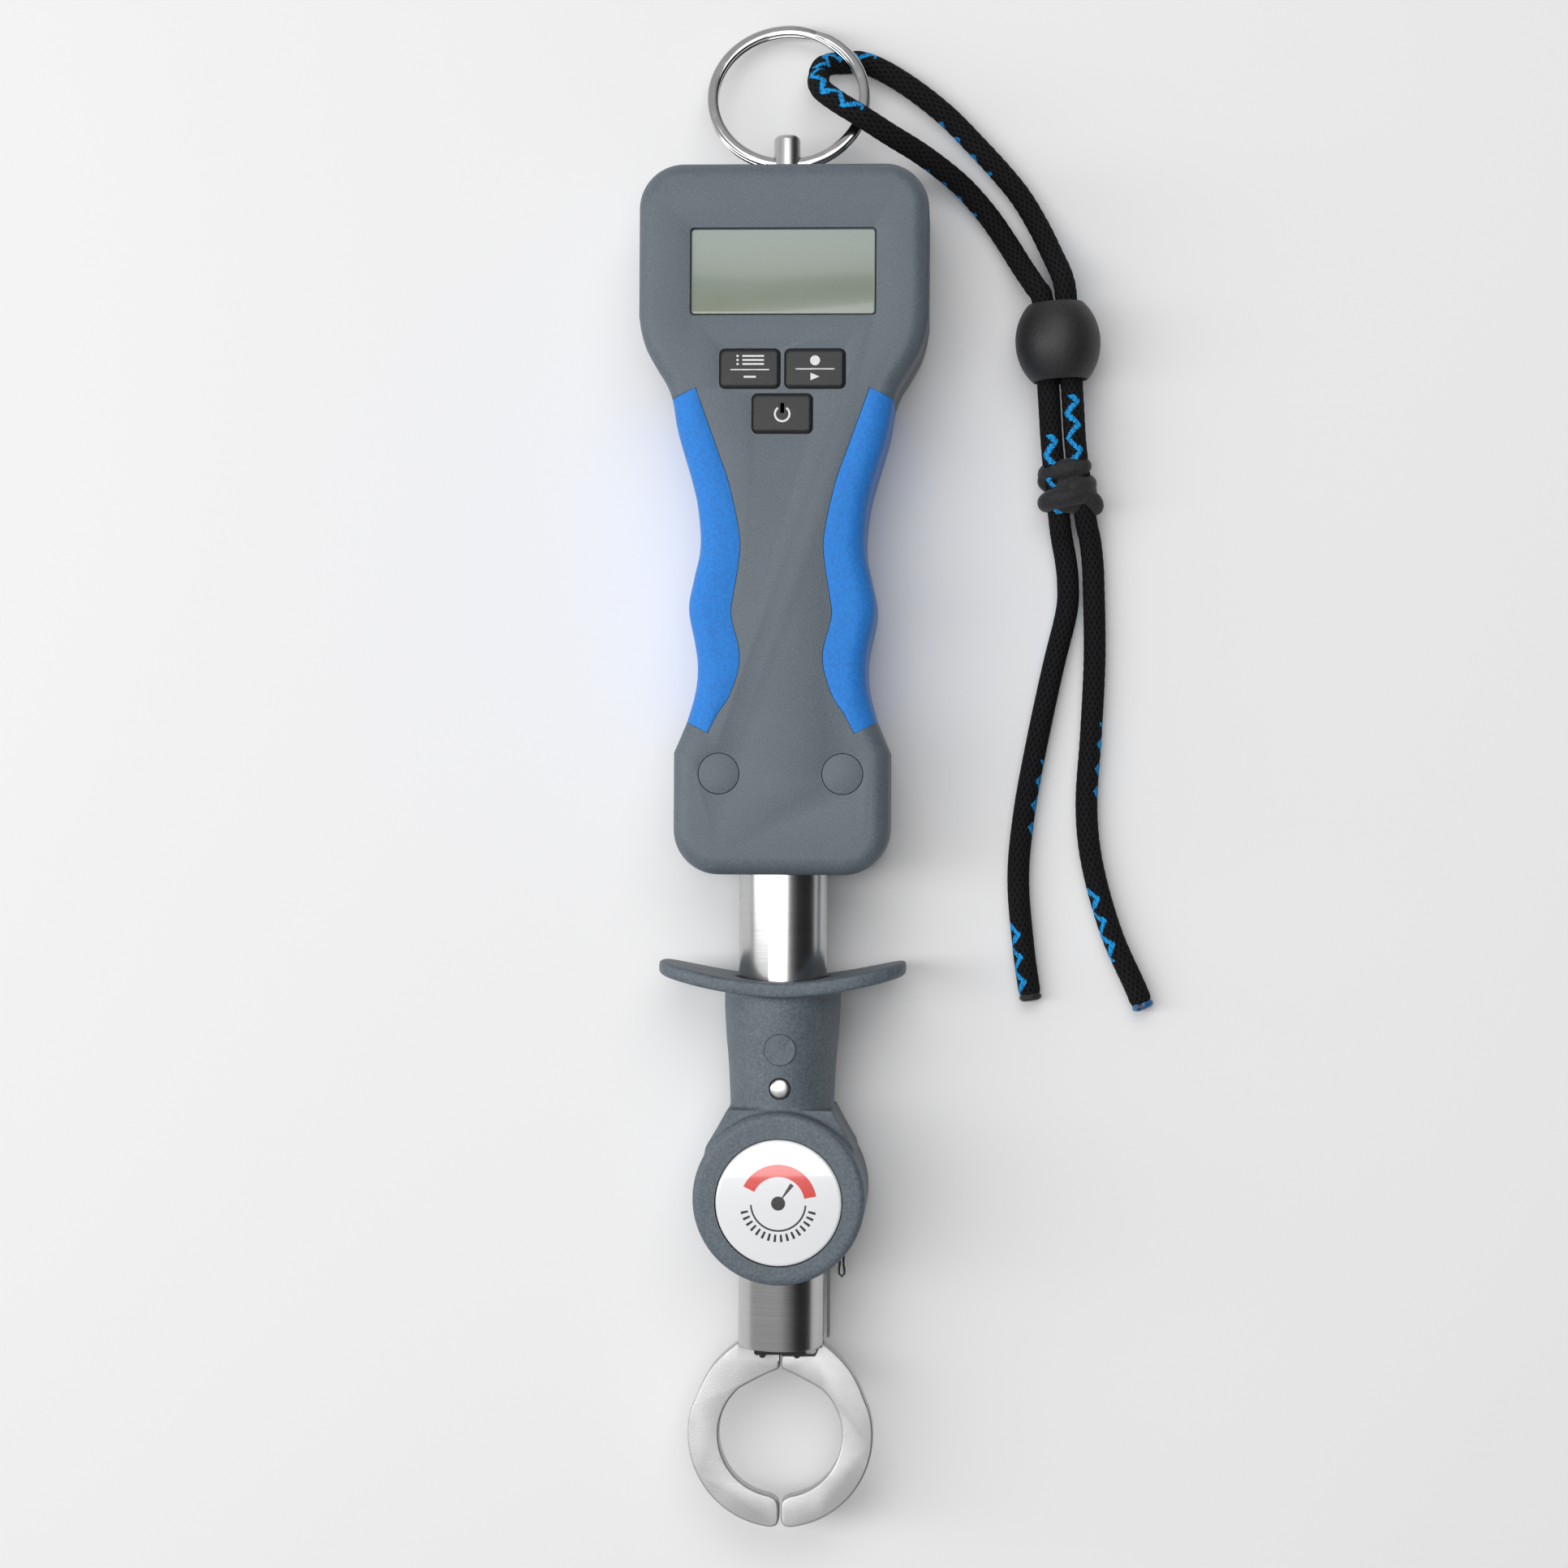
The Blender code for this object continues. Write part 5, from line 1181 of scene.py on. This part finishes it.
def bead():
    """A turned ball with flattened ends and a wide bore."""
    across, up = Vector((-BEAD_AXIS.y, BEAD_AXIS.x, 0)), Vector((0, 0, 1))
    half = BEAD_LENGTH / 2
    profile = [(BEAD_BORE_R + 0.1, -half), (BEAD_BORE_R, -half + 0.4)]
    profile += [(BEAD_BORE_R, half - 0.4), (BEAD_BORE_R + 0.1, half)]
    outer = []
    for i in range(41):
        along = half - BEAD_LENGTH * i / 40
        r = math.sqrt(BEAD_R ** 2 - (along * 0.84) ** 2)
        outer.append((r, along))
    rings = []
    for radius, along in profile + outer:
        ring = []
        for i in range(96):
            a = TURN * i / 96
            ring.append(tuple(BEAD_CENTRE + across * (radius * math.cos(a)) + up * (radius * math.sin(a))
                              + BEAD_AXIS * along))
        rings.append(ring)
    made = solid("bead_ball", rings, closed=True, sharp=40)
    present(made, bead_plastic, "bead", "bead", "lanyard_bead")


def lanyard():
    upper, lower = cord_paths()
    cord("cord_upper", upper, ["lanyard_strand_upper", "lanyard_bight", "lanyard_tail_right"],
         "cord_tip_right", melted_tip)
    cord("cord_lower", lower, ["lanyard_strand_lower", "lanyard_tail_left"], "cord_tip_left", black_rubber)
    knot()
    bead()


# ---- carried-over nodes ----

INNER_LOOKS = {
    "load_cell": cast_aluminium, "load_cell_bolt_lower": pin_steel, "load_cell_bolt_upper": pin_steel,
    "anchor_bracket": cast_aluminium, "tube_plug": cast_aluminium, "tube_cross_pin": pin_steel,
    "tube_bush": black_rubber, "plunger": cast_aluminium, "drive_pin": pin_steel, "return_spring": pin_steel,
    "circuit_board": board_green, "key_mat": key_rubber, "lcd_panel": lcd_surface,
    "battery_left": wrapped_cell, "battery_right": wrapped_cell,
    "battery_contact_lower": pin_steel, "battery_contact_upper": pin_steel,
    "housing_seal_left": black_rubber, "housing_seal_right": black_rubber, "cover_seal": black_rubber,
    "housing_screw_low_left": pin_steel, "housing_screw_low_right": pin_steel,
    "guide_strip": dark_steel, "wire_clip": ring_steel, "slider_plug": slider_plastic,
}


def inner_pieces():
    for name, look in INNER_LOOKS.items():
        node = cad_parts[name]
        node.data.materials.clear()
        node.data.materials.append(look)


# ---- stage ----

def floor():
    made = box("floor", (-900, -900, -1.2), (900, 900, -0.2))
    look = Look("floor", (0.86, 0.86, 0.865), 0.9)
    tone = look.noise(3.0, 2.0)
    look.colour(look.blend(tone, (0.85, 0.85, 0.855), (0.87, 0.87, 0.875)))
    made.data.materials.append(look.material)


def area_light(name, location, size, power, colour=(1, 1, 1)):
    data = bpy.data.lights.new(name, "AREA")
    data.shape = "RECTANGLE"
    data.size, data.size_y = size
    data.energy = power
    data.color = colour
    lamp = bpy.data.objects.new(name, data)
    lamp.location = location
    lamp.rotation_euler = (-Vector(location)).to_track_quat("-Z", "Y").to_euler()
    bpy.context.scene.collection.objects.link(lamp)


def studio():
    """A pale room that is dark towards +X, with one long soft light over the left."""
    world = bpy.data.worlds.new("studio")
    bpy.context.scene.world = world
    world.use_nodes = True
    tree = world.node_tree
    place = tree.nodes.new("ShaderNodeTexCoord")
    parts = tree.nodes.new("ShaderNodeSeparateXYZ")
    tree.links.new(place.outputs["Generated"], parts.inputs["Vector"])
    ramp = tree.nodes.new("ShaderNodeValToRGB")
    tree.links.new(parts.outputs["X"], ramp.inputs["Fac"])
    stops = ramp.color_ramp.elements
    stops[0].position, stops[0].color = 0.0, (0.62, 0.62, 0.62, 1)
    stops[1].position, stops[1].color = 0.62, (0.03, 0.03, 0.032, 1)
    background = tree.nodes["Background"]
    tree.links.new(ramp.outputs["Color"], background.inputs["Color"])
    background.inputs["Strength"].default_value = 0.7
    area_light("long_left", (-0.62, 0.0, 1.0), (0.3, 2.4), 12.0)
    area_light("overhead", (0.1, 0.9, 1.6), (1.4, 1.0), 9.0)


def camera():
    data = bpy.data.cameras.new("camera")
    data.lens, data.sensor_width = CAMERA_LENS, 36.0
    data.clip_start, data.clip_end = 0.05, 20.0
    eye = metres((CAMERA_SIDE, 0.0, CAMERA_HEIGHT))
    made = bpy.data.objects.new("camera", data)
    made.location = eye
    made.rotation_euler = (0.0, math.atan2(CAMERA_SIDE, CAMERA_HEIGHT - AXIS_Z), CAMERA_ROLL)
    bpy.context.scene.collection.objects.link(made)
    bpy.context.scene.camera = made


knot_fabric = soft_rubber("knot_fabric", (0.02, 0.02, 0.022), (0.006, 0.006, 0.007), 1500.0, (0.7, 0.85))
bpy.context.scene.view_settings.view_transform = "Standard"
camera()
floor()
studio()
lanyard()
housing()
display_and_keys()
split_ring()
stud()
gripper_tube()
slider()
jaws()
inner_pieces()
